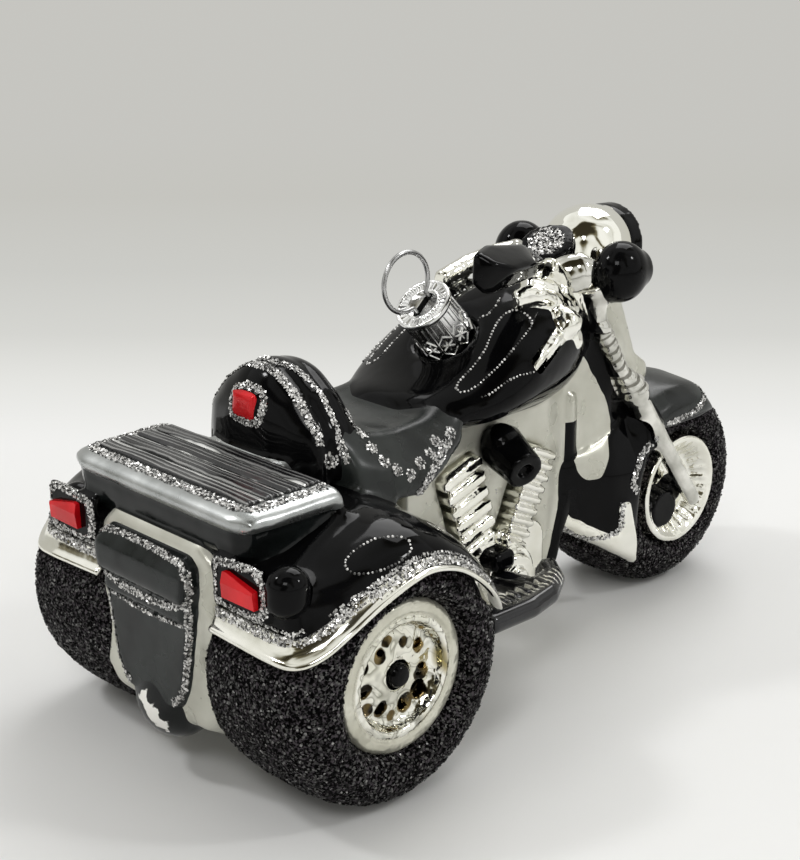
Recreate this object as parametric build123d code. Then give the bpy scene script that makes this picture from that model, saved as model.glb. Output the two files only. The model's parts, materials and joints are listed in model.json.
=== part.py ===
"""Blown-glass hanging ornament in the shape of a three-wheeled motorcycle.

The mould's forms are separate solids that meet face to face.  The metal cap
lifts off the glass neck, and the wire hanger loop tips in the cap's slot.

Lengths are in millimetres.  X runs forward from the rear axle, Y to the left
and Z up from the surface that the tyres stand on.  Every solid is moved by
the same amount as it is written, so that the origin lies midway along the
ornament, between its wheels and under its lowest point.
"""
from build123d import *
import math
import os

os.makedirs("parts", exist_ok=True)

# ---- driving dimensions ----
WHEELBASE = 89.5
REAR_TYRE_R = 20.0
REAR_TYRE_W = 24.2
REAR_TRACK = 42.4            # between the middles of the two rear tyres
REAR_BORE_R = 11.5           # the tyre's inner radius, where the wheel seats
FRONT_TYRE_R = 18.4
FRONT_TYRE_W = 21.0
FRONT_BORE_R = 10.2
TAIL_X = -18.4               # rear face of the glass body
PLATE_DEPTH = 3.2            # how far the plate panel stands off that face
LID_TOP_Z = 45.9
CRANK_X = 44.0               # where the two cylinders' middle planes meet
CRANK_Z = 17.0
NECK_TILT = 41.4             # degrees that the glass neck leans back
NECK_R = 3.9
NECK_BORE_R = 3.1
CAP_R = 4.75
CAP_HEIGHT = 9.2
CAP_WALL = 0.35
WIRE_R = 0.45
LOOP_R = 4.7                 # to the middle of the wire
FIT = 0.15                   # running clearance of the cap and the wire

REAR_AXLE_Z = REAR_TYRE_R
FRONT_AXLE_Z = FRONT_TYRE_R
TYRE_IN_Y = (REAR_TRACK - REAR_TYRE_W) / 2
TYRE_OUT_Y = (REAR_TRACK + REAR_TYRE_W) / 2
REAR_END_X = min(-REAR_TYRE_R, TAIL_X - PLATE_DEPTH)
FRONT_END_X = WHEELBASE + FRONT_TYRE_R
CENTRE_X = (REAR_END_X + FRONT_END_X) / 2

SIDES = (("right", -1), ("left", 1))
NODES = {}


def put(name, shape):
    """Keep a finished solid under its node's name."""
    NODES[name] = shape


def box(x0, x1, y0, y1, z0, z1):
    """A block between two corners."""
    return Pos((x0 + x1) / 2, (y0 + y1) / 2, (z0 + z1) / 2) * Box(abs(x1 - x0), abs(y1 - y0), abs(z1 - z0))


def frame_at(point, direction, across=(0, 1, 0)):
    """A plane at the point whose normal is the direction."""
    return Plane(origin=point, x_dir=across, z_dir=direction)


def rod(start, end, r_start, r_end=None):
    """A round bar or cone between two points."""
    r_end = r_start if r_end is None else r_end
    axis = Vector(*end) - Vector(*start)
    place = Plane(origin=start, z_dir=axis.normalized())
    if abs(r_start - r_end) < 1e-6:
        bar = Cylinder(r_start, axis.length, align=(Align.CENTER, Align.CENTER, Align.MIN))
    else:
        bar = Cone(r_start, r_end, axis.length, align=(Align.CENTER, Align.CENTER, Align.MIN))
    return place * bar


def ball(centre, radius, factors=(1, 1, 1)):
    """A sphere, or an ellipsoid if factors are given."""
    shape = Sphere(radius)
    return Pos(*centre) * (shape if factors == (1, 1, 1) else scale(shape, by=factors))


def chain(points, radius):
    """Round bars through a row of points, with a ball at each bend."""
    shape = rod(points[0], points[1], radius)
    for start, end in zip(points[1:], points[2:]):
        shape += ball(start, radius)
        shape += rod(start, end, radius)
    return shape


def cross_section(x, points_yz):
    """A closed face across the ornament from points in Y and Z."""
    place = Plane(origin=(x, 0, 0), x_dir=(0, 1, 0), z_dir=(1, 0, 0))
    return place * make_face(Polyline(*points_yz, close=True))


def side_panel(points_xz, y0, y1):
    """A flat panel seen from the side, between two places across."""
    outline = Plane(origin=(0, max(y0, y1), 0), x_dir=(1, 0, 0), z_dir=(0, -1, 0)) * make_face(
        Polyline(*points_xz, close=True))
    return extrude(outline, abs(y1 - y0))


def rounded_loft(table, corner):
    """A body through rounded oblongs: x, half width, low z, high z."""
    faces = []
    for x, half_w, z_low, z_high in table:
        place = Plane(origin=(x, 0, (z_low + z_high) / 2), x_dir=(0, 1, 0), z_dir=(1, 0, 0))
        faces.append(place * RectangleRounded(2 * half_w, z_high - z_low, corner))
    return loft(faces, ruled=True)


def oval_loft(table):
    """A smooth body through upright ovals: x, half width, low z, high z."""
    faces = []
    for x, half_w, z_low, z_high in table:
        place = Plane(origin=(x, 0, (z_low + z_high) / 2), x_dir=(0, 1, 0), z_dir=(1, 0, 0))
        faces.append(place * Ellipse(half_w, (z_high - z_low) / 2))
    return loft(faces)


def ring_profile(points_ry):
    """A closed outline of radius against Y, turned about the Y axis."""
    return revolve(make_face(Polyline(*points_ry, close=True)), Axis.Y)


def mirrored(shape):
    """The same shape on the other side of the middle plane."""
    return mirror(shape, Plane.XZ)


def on_side(shape_right, side):
    """A right-hand shape, or its mirror image for the left."""
    return shape_right if side < 0 else mirrored(shape_right)


def both(shape_right):
    """A right-hand shape with its mirror image."""
    return shape_right + mirrored(shape_right)


# ---- wheels ----
def tyre(radius, width, bore_r):
    """A fat tyre about the Y axis with a crowned tread and round shoulders."""
    half = width / 2
    depth = radius - bore_r
    face = make_face(Polyline(
        (bore_r, -half * 0.80), (bore_r + depth * 0.15, -half), (radius - depth * 0.12, -half), (radius, -half * 0.3),
        (radius, half * 0.3), (radius - depth * 0.12, half), (bore_r + depth * 0.15, half), (bore_r, half * 0.80),
        close=True))
    corners = [v for v in face.vertices() if v.X > bore_r + depth * 0.5 and abs(v.Y) > half * 0.9]
    face = fillet(corners, min(depth * 0.66, half * 0.55))
    return revolve(face, Axis.Y)


# degrees around, distance from the hub, radius of the openings in a rear wheel's dish
PIERCE_TABLE = (
    (70, 4.6, 0.75), (33, 5.4, 0.95), (105, 5.6, 0.8), (128, 4.6, 0.95), (157, 6.3, 0.8), (187, 5.8, 1.0),
    (216, 6.5, 0.9), (238, 5.3, 1.0), (262, 6.2, 0.8), (290, 5.4, 1.35), (318, 5.9, 1.5), (345, 5.2, 1.35),
)
DISH_R = 7.6                 # the filigree's outer radius
SPOKE_COUNT = 9


def rear_wheel():
    """Right rear wheel: pearl ring, raised line and a pierced, spoked dish."""
    inner_y = -REAR_TRACK / 2 + REAR_TYRE_W * 0.40
    face_y = -REAR_TRACK / 2 - REAR_TYRE_W * 0.40
    dish_y = face_y + 1.3
    wheel = ring_profile([
        (0, inner_y), (REAR_BORE_R, inner_y), (REAR_BORE_R, face_y), (REAR_BORE_R - 0.6, face_y - 0.7),
        (9.6, face_y - 0.8), (9.2, face_y - 0.1), (8.9, face_y - 0.7), (8.1, face_y - 0.7), (DISH_R, face_y + 0.6),
        (DISH_R - 0.6, dish_y), (2.4, dish_y - 0.5), (0, dish_y - 0.5)])
    for angle, r, size in PIERCE_TABLE:
        spot = (r * math.cos(math.radians(angle)), r * math.sin(math.radians(angle)))
        wheel -= rod((spot[0], dish_y - 1.5, spot[1]), (spot[0], dish_y + 1.1, spot[1]), size, size * 0.8)
    for i in range(SPOKE_COUNT):
        angle = math.radians(360 / SPOKE_COUNT * i)
        for slant in (-0.30, 0.30):
            inner = (2.2 * math.cos(angle), dish_y - 0.1, 2.2 * math.sin(angle))
            outer = (DISH_R * math.cos(angle + slant), dish_y + 0.1, DISH_R * math.sin(angle + slant))
            wheel += rod(inner, outer, 0.38)
    return Pos(0, 0, REAR_AXLE_Z) * wheel


def rear_hub():
    """Black domed hub on the right rear wheel."""
    seat_y = -REAR_TRACK / 2 - REAR_TYRE_W * 0.40 + 0.8
    dome = ring_profile([
        (0, seat_y), (2.1, seat_y), (2.1, seat_y - 0.7), (1.5, seat_y - 1.3), (0, seat_y - 1.5)])
    return Pos(0, 0, REAR_AXLE_Z) * dome


RING_R = 8.3                 # inner radius of the front wheel's bright ring
RIB_COUNT = 24


def front_wheel_face():
    """Right face of the front wheel: a bright ring, ribbed inside, and a dish."""
    seat_y = -FRONT_TYRE_W * 0.40
    rim_y = -FRONT_TYRE_W * 0.50
    face = ring_profile([
        (0, 0), (FRONT_BORE_R, 0), (FRONT_BORE_R, seat_y), (FRONT_BORE_R - 0.4, rim_y - 0.5), (9.0, rim_y - 0.6),
        (RING_R, rim_y), (RING_R - 2.2, seat_y + 0.4), (3.0, seat_y), (0, seat_y)])
    for i in range(RIB_COUNT):
        angle = 2 * math.pi * i / RIB_COUNT
        inner = (6.4 * math.cos(angle), seat_y + 0.3, 6.4 * math.sin(angle))
        outer = (RING_R * math.cos(angle), rim_y + 0.1, RING_R * math.sin(angle))
        face += rod(inner, outer, 0.34)
    return Pos(WHEELBASE, 0, FRONT_AXLE_Z) * face


CALIPER_BACK = 4.2           # the caliper's middle, behind and below the axle
CALIPER_DROP = 2.8


def front_hub():
    """Black caliper and axle end on the right face of the front wheel."""
    seat_y = -FRONT_TYRE_W * 0.40
    disc = rod((-CALIPER_BACK, seat_y, -CALIPER_DROP), (-CALIPER_BACK, seat_y - 2.6, -CALIPER_DROP), 4.0, 3.2)
    disc += rod((-1.0, seat_y, -0.2), (-1.0, seat_y - 2.2, -0.2), 2.6, 2.0)
    return Pos(WHEELBASE, 0, FRONT_AXLE_Z) * disc


REAR_TYRE = Pos(0, -REAR_TRACK / 2, REAR_AXLE_Z) * tyre(REAR_TYRE_R, REAR_TYRE_W, REAR_BORE_R)
FRONT_TYRE = Pos(WHEELBASE, 0, FRONT_AXLE_Z) * tyre(FRONT_TYRE_R, FRONT_TYRE_W, FRONT_BORE_R)
REAR_PLUG = Pos(0, 0, REAR_AXLE_Z) * Rot(90, 0, 0) * Cylinder(REAR_BORE_R, REAR_TRACK + REAR_TYRE_W)
FRONT_PLUG = Pos(WHEELBASE, 0, FRONT_AXLE_Z) * Rot(90, 0, 0) * Cylinder(FRONT_BORE_R, FRONT_TYRE_W + 8.0)
REAR_TYRES = both(REAR_TYRE)
FRONT_FACE = front_wheel_face()
FRONT_HUB = front_hub() - FRONT_FACE

for word, side in SIDES:
    put(f"rear_tyre_{word}", on_side(REAR_TYRE, side))
    put(f"rear_wheel_{word}", on_side(rear_wheel(), side))
    put(f"rear_hub_{word}", on_side(rear_hub() - rear_wheel(), side))
    put(f"front_wheel_face_{word}", on_side(FRONT_FACE, side))
    put(f"front_hub_{word}", on_side(FRONT_HUB, side))
put("front_tyre", FRONT_TYRE)

# ---- glass body behind the seat ----
BODY_HALF_W = TYRE_IN_Y      # between the rear tyres

# x, half width, low z, high z of the pearl body between the rear wheels
BODY_TABLE = (
    (TAIL_X, 12.3, 10.5, 38.0),
    (TAIL_X + 4.0, 12.3, 8.0, 38.0),
    (0.0, BODY_HALF_W, 7.0, 38.0),
    (20.0, BODY_HALF_W, 9.0, 38.0),
)

# place along, lip edge z, lip top z, crown z as shares of the tyre's radius;
# then how far the lip's edge and the skin stand outside the tyre's face
FENDER_TABLE = (
    (-0.880, 1.350, 1.520, 1.830, -3.0, -4.8),
    (-0.740, 1.450, 1.600, 1.880, -0.4, -2.6),
    (-0.560, 1.560, 1.690, 1.915, 0.7, -1.3),
    (-0.300, 1.690, 1.785, 2.010, 1.2, -0.6),
    (-0.020, 1.775, 1.855, 2.090, 1.3, -0.4),
    (0.180, 1.790, 1.865, 2.095, 1.3, -0.3),
    (0.420, 1.715, 1.800, 2.010, 1.2, -0.5),
    (0.660, 1.545, 1.650, 1.870, 0.7, -1.0),
    (0.900, 1.330, 1.450, 1.650, -0.9, -2.6),
    (1.100, 1.130, 1.250, 1.470, -3.6, -5.0),
)
LIP_BAR_IN = 13.4            # where the lip's rear bar ends, from the middle


def fender_rows():
    """The fender table in lengths: x, lip z, lip top z, crown z, lip y, skin y."""
    rows = []
    for along, z_lip, z_top, z_crown, lip_out, skin_out in FENDER_TABLE:
        r = REAR_TYRE_R
        rows.append((along * r, z_lip * r, z_top * r, z_crown * r, TYRE_OUT_Y + lip_out, TYRE_OUT_Y + skin_out))
    return rows


FENDER_ROWS = fender_rows()
FENDER_END_X = FENDER_ROWS[0][0]


def fender_skin():
    """Gloss skin of the right rear fender, over the tyre."""
    faces = []
    for x, z_lip, z_top, z_crown, y_lip, y_skin in FENDER_ROWS:
        rise = z_crown - z_top
        faces.append(cross_section(x, (
            (-BODY_HALF_W, z_top), (-y_skin, z_top), (-y_skin * 0.975, z_top + rise * 0.34),
            (-y_skin * 0.90, z_top + rise * 0.70), (-y_skin * 0.78, z_crown - rise * 0.08), (-y_skin * 0.60, z_crown),
            (-BODY_HALF_W, z_crown))))
    return loft(faces, ruled=True)


def fender_lip():
    """Bright flared lip with a rolled edge, below the right fender's skin."""
    faces = []
    for x, z_lip, z_top, z_crown, y_lip, y_skin in FENDER_ROWS:
        flare = y_lip - y_skin
        drop = z_top - z_lip
        faces.append(cross_section(x, (
            (-y_skin + 2.4, z_top), (-y_skin, z_top), (-y_skin - flare * 0.2, z_top - drop * 0.5),
            (-y_lip + 0.4, z_lip + 1.0), (-y_lip, z_lip + 0.6), (-y_lip, z_lip - 0.1), (-y_lip + 0.5, z_lip - 0.4),
            (-y_lip + 1.8, z_lip - 0.4), (-y_skin + 2.4, z_lip + drop * 0.4))))
    band = loft(faces, ruled=True)
    x, z_lip, z_top = FENDER_ROWS[0][:3]
    y_end = FENDER_ROWS[0][4]
    bar = side_panel((
        (x - 0.2, z_top - 0.2), (x - 0.9, z_lip + 1.6), (x - 1.7, z_lip + 0.7), (x - 1.7, z_lip),
        (x - 1.2, z_lip - 0.4), (x + 2.0, z_lip - 0.4), (x + 2.0, z_top - 0.2)), -LIP_BAR_IN, -y_end + 1.0)
    corner = rod((x + 0.2, -y_end + 1.1, z_lip - 0.4), (x + 0.2, -y_end + 1.1, z_top - 0.2), 1.9, 0.8)
    return band + bar + corner


SKIN = fender_skin() - REAR_TYRE - REAR_PLUG
LIP = fender_lip() - REAR_TYRE - REAR_PLUG - SKIN
SKINS = both(SKIN)
LIPS = both(LIP)
BODY = rounded_loft(BODY_TABLE, 3.0) - REAR_TYRES - SKINS - REAR_PLUG - LIPS

for word, side in SIDES:
    put(f"fender_lip_{word}", on_side(LIP, side))
put("rear_body", BODY)

# ---- trunk ----
TRUNK_X0 = TAIL_X + 0.6
TRUNK_X1 = -0.6
TRUNK_HALF_W = 19.7
TRUNK_Z0 = 37.2
RIM_Z0 = 42.8
RIM_H = 2.5
RIM_W = 2.2
RIB_HALF_L = 16.9
LID_RIBS = 4
CHAMFER = 2.6


def trunk_outline(grow):
    """Plan of the trunk: straight sides and cut rear corners."""
    points = ((TRUNK_X0 - grow, TRUNK_HALF_W - CHAMFER), (TRUNK_X0 + CHAMFER * 0.5 - grow * 0.6, TRUNK_HALF_W + grow),
              (TRUNK_X1, TRUNK_HALF_W + 0.6 + grow))
    right = [(x, -y) for x, y in reversed(points)]
    return make_face(Polyline(*points, *right, close=True))


def trunk_box():
    """Black box of the trunk, drawn in at its foot."""
    stack = [Pos(0, 0, z) * trunk_outline(grow) for z, grow in (
        (TRUNK_Z0, -1.6), (TRUNK_Z0 + 1.6, -0.3), (RIM_Z0 - 0.8, 0.1), (RIM_Z0, -0.3))]
    return loft(stack, ruled=True)


def trunk_rim():
    """Satin silver rim around the lid, its outer face rounded."""
    stack = [Pos(0, 0, z) * trunk_outline(grow) for z, grow in (
        (RIM_Z0, 0.3), (RIM_Z0 + 0.4, 0.9), (RIM_Z0 + RIM_H * 0.55, 0.8), (RIM_Z0 + RIM_H, -0.9))]
    return loft(stack, ruled=True)


def trunk_lid():
    """Lid with broad stepped ribs running across the trunk."""
    base_z = RIM_Z0 + RIM_H
    panel = extrude(Pos(0, 0, base_z) * trunk_outline(-RIM_W), 0.15)
    x_start = TRUNK_X0 + RIM_W + 0.6
    pitch = (TRUNK_X1 - 0.6 - x_start) / LID_RIBS
    rise = LID_TOP_Z - base_z
    for i in range(LID_RIBS):
        x = x_start + pitch * i
        steps = ((0.02, 0.1), (0.05, 0.8), (0.16, 1.0), (0.28, 1.0), (0.32, 0.72), (0.40, 0.72), (0.44, 0.88),
                 (0.56, 0.80), (0.60, 0.56), (0.68, 0.56), (0.72, 0.68), (0.82, 0.60), (0.92, 0.1))
        outline = [(x + pitch * s, base_z + rise * h) for s, h in steps]
        panel += side_panel(outline, -RIB_HALF_L, RIB_HALF_L)
    return panel


TRUNK_BOX = trunk_box() - REAR_TYRES - SKINS - LIPS - BODY
TRUNK_RIM = trunk_rim()
TRUNK_LID = trunk_lid()
put("trunk_box", TRUNK_BOX)
put("trunk_rim", TRUNK_RIM)
put("trunk_lid", TRUNK_LID)

# ---- tail ----
PLATE_TOP_Z = 36.8
PANE_LOW_Z = 30.4            # lower edge of the upper pane
STEP_LOW_Z = 27.2            # lower edge of the step under it
# y and z of the plate panel's outline, right half, from the top down
PLATE_OUTLINE = ((0, 36.9), (8.8, 36.7), (10.4, 35.6), (10.6, 33.0), (9.8, 27.4), (8.7, 21.5), (7.8, 16.5), (5.9, 12.8))


def plate_outline(shrink, z_top, z_low):
    """Outline of the plate panel between two heights, drawn in by a distance."""
    right = [(max(y - shrink, 0), z) for y, z in PLATE_OUTLINE]
    whole = right[1:] + [(-y, z) for y, z in reversed(right[1:])]
    face = Plane(origin=(TAIL_X, 0, 0), x_dir=(0, -1, 0), z_dir=(-1, 0, 0)) * make_face(Polyline(*whole, close=True))
    return extrude(face, PLATE_DEPTH) & box(TAIL_X - PLATE_DEPTH, TAIL_X, -20, 20, z_low, z_top)


def plate_panel():
    """Blank plate: a bulging upper pane, a step and a hollow lower panel."""
    z_foot = PLATE_OUTLINE[-1][1]
    back = plate_outline(0.0, 40.0, z_foot) & box(TAIL_X - PLATE_DEPTH * 0.5, TAIL_X, -20, 20, z_foot, 40)
    pane_profile = ((TAIL_X, PANE_LOW_Z), (TAIL_X - PLATE_DEPTH * 0.9, PANE_LOW_Z), (TAIL_X - PLATE_DEPTH, PANE_LOW_Z + 1.0),
                    (TAIL_X - PLATE_DEPTH * 0.95, PLATE_TOP_Z - 2.6), (TAIL_X - PLATE_DEPTH * 0.5, PLATE_TOP_Z), (TAIL_X, PLATE_TOP_Z))
    pane = side_panel(pane_profile, -12.0, 12.0) & plate_outline(0.3, 40.0, 10.0)
    step_profile = ((TAIL_X, STEP_LOW_Z), (TAIL_X - PLATE_DEPTH * 0.78, STEP_LOW_Z),
                    (TAIL_X - PLATE_DEPTH * 0.72, PANE_LOW_Z - 0.5), (TAIL_X, PANE_LOW_Z - 0.5))
    step = side_panel(step_profile, -12.0, 12.0) & plate_outline(0.8, 40.0, 10.0)
    return back + pane + step


PLATE = plate_panel()
TIP_SIZE = 6.2
TIP = ball((TAIL_X + 2.8, 0, 11.4), TIP_SIZE, (0.85, 1.12, 1.0)) - BODY - REAR_TYRES
put("plate_panel", PLATE - TIP)
put("tail_tip", TIP)

LAMP_Y = 19.4
LAMP_Z = 35.3
LAMP_HALF_W = 5.7
LAMP_HALF_H = 3.7
LAMP_DEPTH = 1.4
LAMP_X = FENDER_END_X
# y from the lamp's middle and z of the lens outline, seen from behind
LENS_OUTLINE = ((2.4, 2.1), (1.6, 2.2), (-4.1, 1.0), (-4.2, -1.6), (2.6, -1.7))


def lamp_housing():
    """Right tail lamp's block on the fender's rear face."""
    block = box(LAMP_X - LAMP_DEPTH, LAMP_X, -LAMP_Y - LAMP_HALF_W, -LAMP_Y + LAMP_HALF_W,
                LAMP_Z - LAMP_HALF_H, LAMP_Z + LAMP_HALF_H)
    return fillet(block.edges().group_by(Axis.X)[0], 0.9)


def lamp_lens():
    """Right tail lamp's red lens of two facets."""
    points = [(-LAMP_Y + y, LAMP_Z + z) for y, z in LENS_OUTLINE]
    face_x = LAMP_X - LAMP_DEPTH
    outline = Plane(origin=(face_x, 0, 0), x_dir=(0, 1, 0), z_dir=(1, 0, 0)) * make_face(Polyline(*points, close=True))
    lens = extrude(outline, -1.0)
    wedge = side_panel(((face_x, LAMP_Z - 3), (face_x - 0.6, LAMP_Z - 3), (face_x - 1.0, LAMP_Z + 0.6),
                        (face_x - 0.5, LAMP_Z + 3), (face_x, LAMP_Z + 3)), -LAMP_Y - 6, -LAMP_Y + 6)
    return lens & wedge


# middle (x, y, z), radius and half the straight height of the marker lamps
MARKER_TABLE = {
    "right": ((TAIL_X + 2.2, -TYRE_OUT_Y + 7.0, 37.0), 3.1, 1.2),
    "left": ((TAIL_X + 3.6, TYRE_OUT_Y - 9.6, 35.2), 2.4, 0.2),
}
# x and z of the plane that ends a marker lamp's bulb above the tyre
BULB_SEAT = side_panel(((-21.0, 27.6), (-17.0, 31.6), (-11.8, 37.0), (-11.8, 27.6)), -34.0, 34.0)
VALLEY = rod((-13.2, -24.0, 40.4), (-12.2, -34.0, 36.4), 1.7)
CREASE = chain(((-13.0, -23.4, 37.6), (-7.0, -21.8, 40.2), (-0.6, -21.0, 41.9)), 0.6)
LENS = lamp_lens()
for word, side in SIDES:
    middle, radius, rise = MARKER_TABLE[word]
    low = (middle[0], middle[1], middle[2] - rise)
    high = (middle[0], middle[1], middle[2] + rise)
    bulb = ball(low, radius) + rod(low, high, radius) + ball(high, radius) - BULB_SEAT
    skin = on_side(SKIN, side)
    if word == "right":
        skin = skin - VALLEY + CREASE - REAR_TYRE - TRUNK_BOX - TRUNK_RIM
    housing = on_side(lamp_housing(), side)
    skin = skin - bulb - housing
    put(f"rear_fender_{word}", skin)
    put(f"tail_lamp_{word}", housing - bulb)
    put(f"tail_lens_{word}", on_side(LENS, side))
    put(f"marker_lamp_{word}", bulb)
RIGHT_SKIN = NODES["rear_fender_right"]
ALL_SKINS = RIGHT_SKIN + NODES["rear_fender_left"]

# ---- seat and backrest ----
BACK_Z0 = 42.5
# x, half width, crown z of the backrest's arched sections
BACK_TABLE = (
    (-1.3, 4.0, 53.4),
    (0.1, 9.0, 56.2),
    (1.6, 11.8, 57.8),
    (2.9, 12.6, 58.3),
    (3.6, 11.8, 57.5),
    (4.3, 12.6, 58.3),
    (6.7, 12.7, 58.2),
    (7.4, 11.9, 57.4),
    (8.1, 12.5, 58.0),
    (10.2, 11.8, 57.0),
    (11.6, 9.8, 54.8),
)


def arch_face(x, half_w, z_crown):
    """An arched outline across the ornament."""
    place = Plane(origin=(x, 0, 0), x_dir=(0, 1, 0), z_dir=(1, 0, 0))
    z_side = max(z_crown - half_w * 1.02, BACK_Z0 + 0.5)
    rise = z_crown - z_side
    right = ((half_w, BACK_Z0), (half_w, z_side), (half_w * 0.95, z_side + rise * 0.35))
    points = right + ((half_w * 0.66, z_side + rise * 0.70), (half_w * 0.34, z_side + rise * 0.92))
    left = [(-y, z) for y, z in reversed(points)]
    with BuildLine() as outline:
        for start, end in zip(points, points[1:]):
            Line(start, end)
        ThreePointArc(points[-1], (0, z_crown), left[0])
        for start, end in zip(left, left[1:]):
            Line(start, end)
        Line(left[-1], points[0])
    return place * make_face(outline.line)


# x, half width at the skirt, skirt z, shoulder z, crown z of the seat
SEAT_TABLE = (
    (6.0, 16.6, 40.2, 45.0, 51.0),
    (12.0, 18.0, 38.8, 43.6, 48.6),
    (18.0, 17.6, 38.0, 42.6, 47.4),
    (24.0, 16.2, 40.0, 43.8, 47.4),
    (31.0, 13.6, 42.6, 45.4, 48.6),
)


def seat():
    """Saddle whose skirts drop over the fenders and rise to the tank."""
    faces = []
    for x, half_w, z_skirt, z_shoulder, z_crown in SEAT_TABLE:
        right = ((half_w, z_skirt), (half_w * 0.93, z_shoulder), (half_w * 0.64, z_crown - 0.4),
                 (half_w * 0.24, z_crown - 0.9))
        points = [(-y, z) for y, z in right]
        points = list(right) + list(reversed(points))
        faces.append(cross_section(x, points))
    return loft(faces, ruled=True)


# x, half width, low z, high z of the tank
TANK_TABLE = (
    (24.5, 5.0, 44.6, 47.8),
    (29.0, 11.0, 43.0, 49.4),
    (36.0, 15.0, 41.4, 52.6),
    (44.0, 15.9, 40.8, 58.0),
    (53.0, 14.6, 40.4, 61.4),
    (61.0, 11.2, 41.2, 60.8),
    (67.0, 6.6, 43.8, 57.0),
)
NECK_AXIS = (-math.sin(math.radians(NECK_TILT)), 0.0, math.cos(math.radians(NECK_TILT)))
NECK_FOOT = (40.9, 0.0, 53.9)        # where the neck's axis meets the tank


def along_neck(distance):
    """A point on the neck's axis, from the foot outwards."""
    return tuple(f + a * distance for f, a in zip(NECK_FOOT, NECK_AXIS))


NECK_DEPTH = 4.0
NECK_RISE = CAP_HEIGHT - CAP_WALL - FIT
SKIRT_GAP = 0.3


def glass_neck():
    """Open glass neck that the cap grips."""
    outside = rod(along_neck(-NECK_DEPTH), along_neck(NECK_RISE), NECK_R)
    bore = rod(along_neck(-NECK_DEPTH + 1.0), along_neck(NECK_RISE + 1.0), NECK_BORE_R)
    return outside - bore


NECK_HOLE = rod(along_neck(-NECK_DEPTH), along_neck(NECK_RISE), NECK_R)
CAP_SWEEP = rod(along_neck(SKIRT_GAP), along_neck(CAP_HEIGHT * 3), CAP_R + 0.6)
TANK = oval_loft(TANK_TABLE) - NECK_HOLE - CAP_SWEEP
BACKREST = loft([arch_face(*row) for row in BACK_TABLE], ruled=True) - TRUNK_RIM - TRUNK_BOX - TRUNK_LID - ALL_SKINS - BODY
SEAT = seat() - BACKREST - TANK - NECK_HOLE - ALL_SKINS - BODY - TRUNK_RIM - TRUNK_BOX

put("tank", TANK)
put("glass_neck", glass_neck())
put("backrest", BACKREST)
put("seat", SEAT)
BACK_LAMP_Z = 52.6
put("backrest_lamp", box(BACK_TABLE[0][0] - 0.5, BACK_TABLE[0][0] + 1.2, -2.3, 2.3, BACK_LAMP_Z - 1.7, BACK_LAMP_Z + 1.7) - BACKREST)

# ---- engine ----
GEAR_X = 45.4
GEAR_Z = 14.2
GEAR_R = 5.6


def crankcase():
    """Bright crankcase with a stepped gear cover on each side."""
    case = box(28.0, 56.0, -8.0, 8.0, 7.6, 22.0)
    case = fillet(case.edges().filter_by(Axis.Y), 4.0)
    for radius, reach in ((GEAR_R, 10.4), (GEAR_R * 0.78, 11.6), (GEAR_R * 0.4, 12.4)):
        case += Pos(GEAR_X, 0, GEAR_Z) * Rot(90, 0, 0) * Cylinder(radius, 2 * reach)
    return case - BODY - REAR_TYRES


# lean from upright in degrees, foot from the crank, height, half width at
# foot and top, reach across, fins of each cylinder
CYLINDER_TABLE = {
    "front": (25.0, 2.0, 19.4, 2.7, 3.2, 9.8, 10),
    "rear": (-19.0, -2.6, 20.0, 3.8, 4.6, 9.0, 7),
}


def finned_cylinder(word):
    """A leaning cylinder built of a core and flat cooling fins."""
    lean, foot, height, half_foot, half_top, reach, fins = CYLINDER_TABLE[word]
    shape = box(-half_foot + 0.6, half_foot - 0.6, -reach + 0.7, reach - 0.7, 0, height)
    pitch = height / fins
    for i in range(fins):
        half = half_foot + (half_top - half_foot) * i / fins
        z = pitch * (i + 0.2)
        shape += box(-half, half, -reach, reach, z, z + pitch * 0.60)
    return Pos(CRANK_X + foot, 0, CRANK_Z) * Rot(0, lean, 0) * shape


def cylinder_space(word):
    """The plain block that a cylinder fills, for cutting what is behind it."""
    lean, foot, height, half_foot, half_top, reach, fins = CYLINDER_TABLE[word]
    return Pos(CRANK_X + foot, 0, CRANK_Z) * Rot(0, lean, 0) * box(-half_top, half_top, -reach, reach, 0, height)


CASE = crankcase()
V_GAP = 0.9                  # half the plain strip between the two cylinders
AHEAD = box(CRANK_X + V_GAP, CRANK_X + 60.0, -20, 20, 0, 60)
BEHIND = box(CRANK_X - 60.0, CRANK_X - V_GAP, -20, 20, 0, 60)
AIR_END = (42.9, -15.2, 34.8)
AIR_ROOT = (44.2, -8.4, 37.3)
AIR_CLEANER = rod(AIR_ROOT, AIR_END, 3.9, 3.1) + ball((43.4, -9.3, 38.0), 3.3)
AIR_CLEANER = AIR_CLEANER - ball(AIR_END, 1.3) - TANK
FRONT_CYL = (finned_cylinder("front") & AHEAD) - CASE - TANK - AIR_CLEANER
REAR_CYL = (finned_cylinder("rear") & BEHIND) - CASE - TANK - SEAT - BODY - AIR_CLEANER - ALL_SKINS
CYL_SPACE = (cylinder_space("front") & AHEAD) + (cylinder_space("rear") & BEHIND)
put("crankcase", CASE)
put("cylinder_front", FRONT_CYL)
put("cylinder_rear", REAR_CYL)
put("air_cleaner", AIR_CLEANER)
STARTER = fillet(box(39.4, 44.2, -12.6, -7.0, 17.2, 20.6).edges(), 1.1) - CASE - CYL_SPACE
put("starter_covers", both(STARTER))

# x, half width, low z, high z of the pearl body behind the engine
CORE_TABLE = (
    (24.0, 7.4, 12.0, 45.0),
    (30.0, 7.4, 10.0, 45.0),
    (57.5, 7.0, 10.8, 45.0),
    (61.0, 6.2, 17.0, 46.0),
    (64.6, 5.4, 25.0, 47.0),
)

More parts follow.
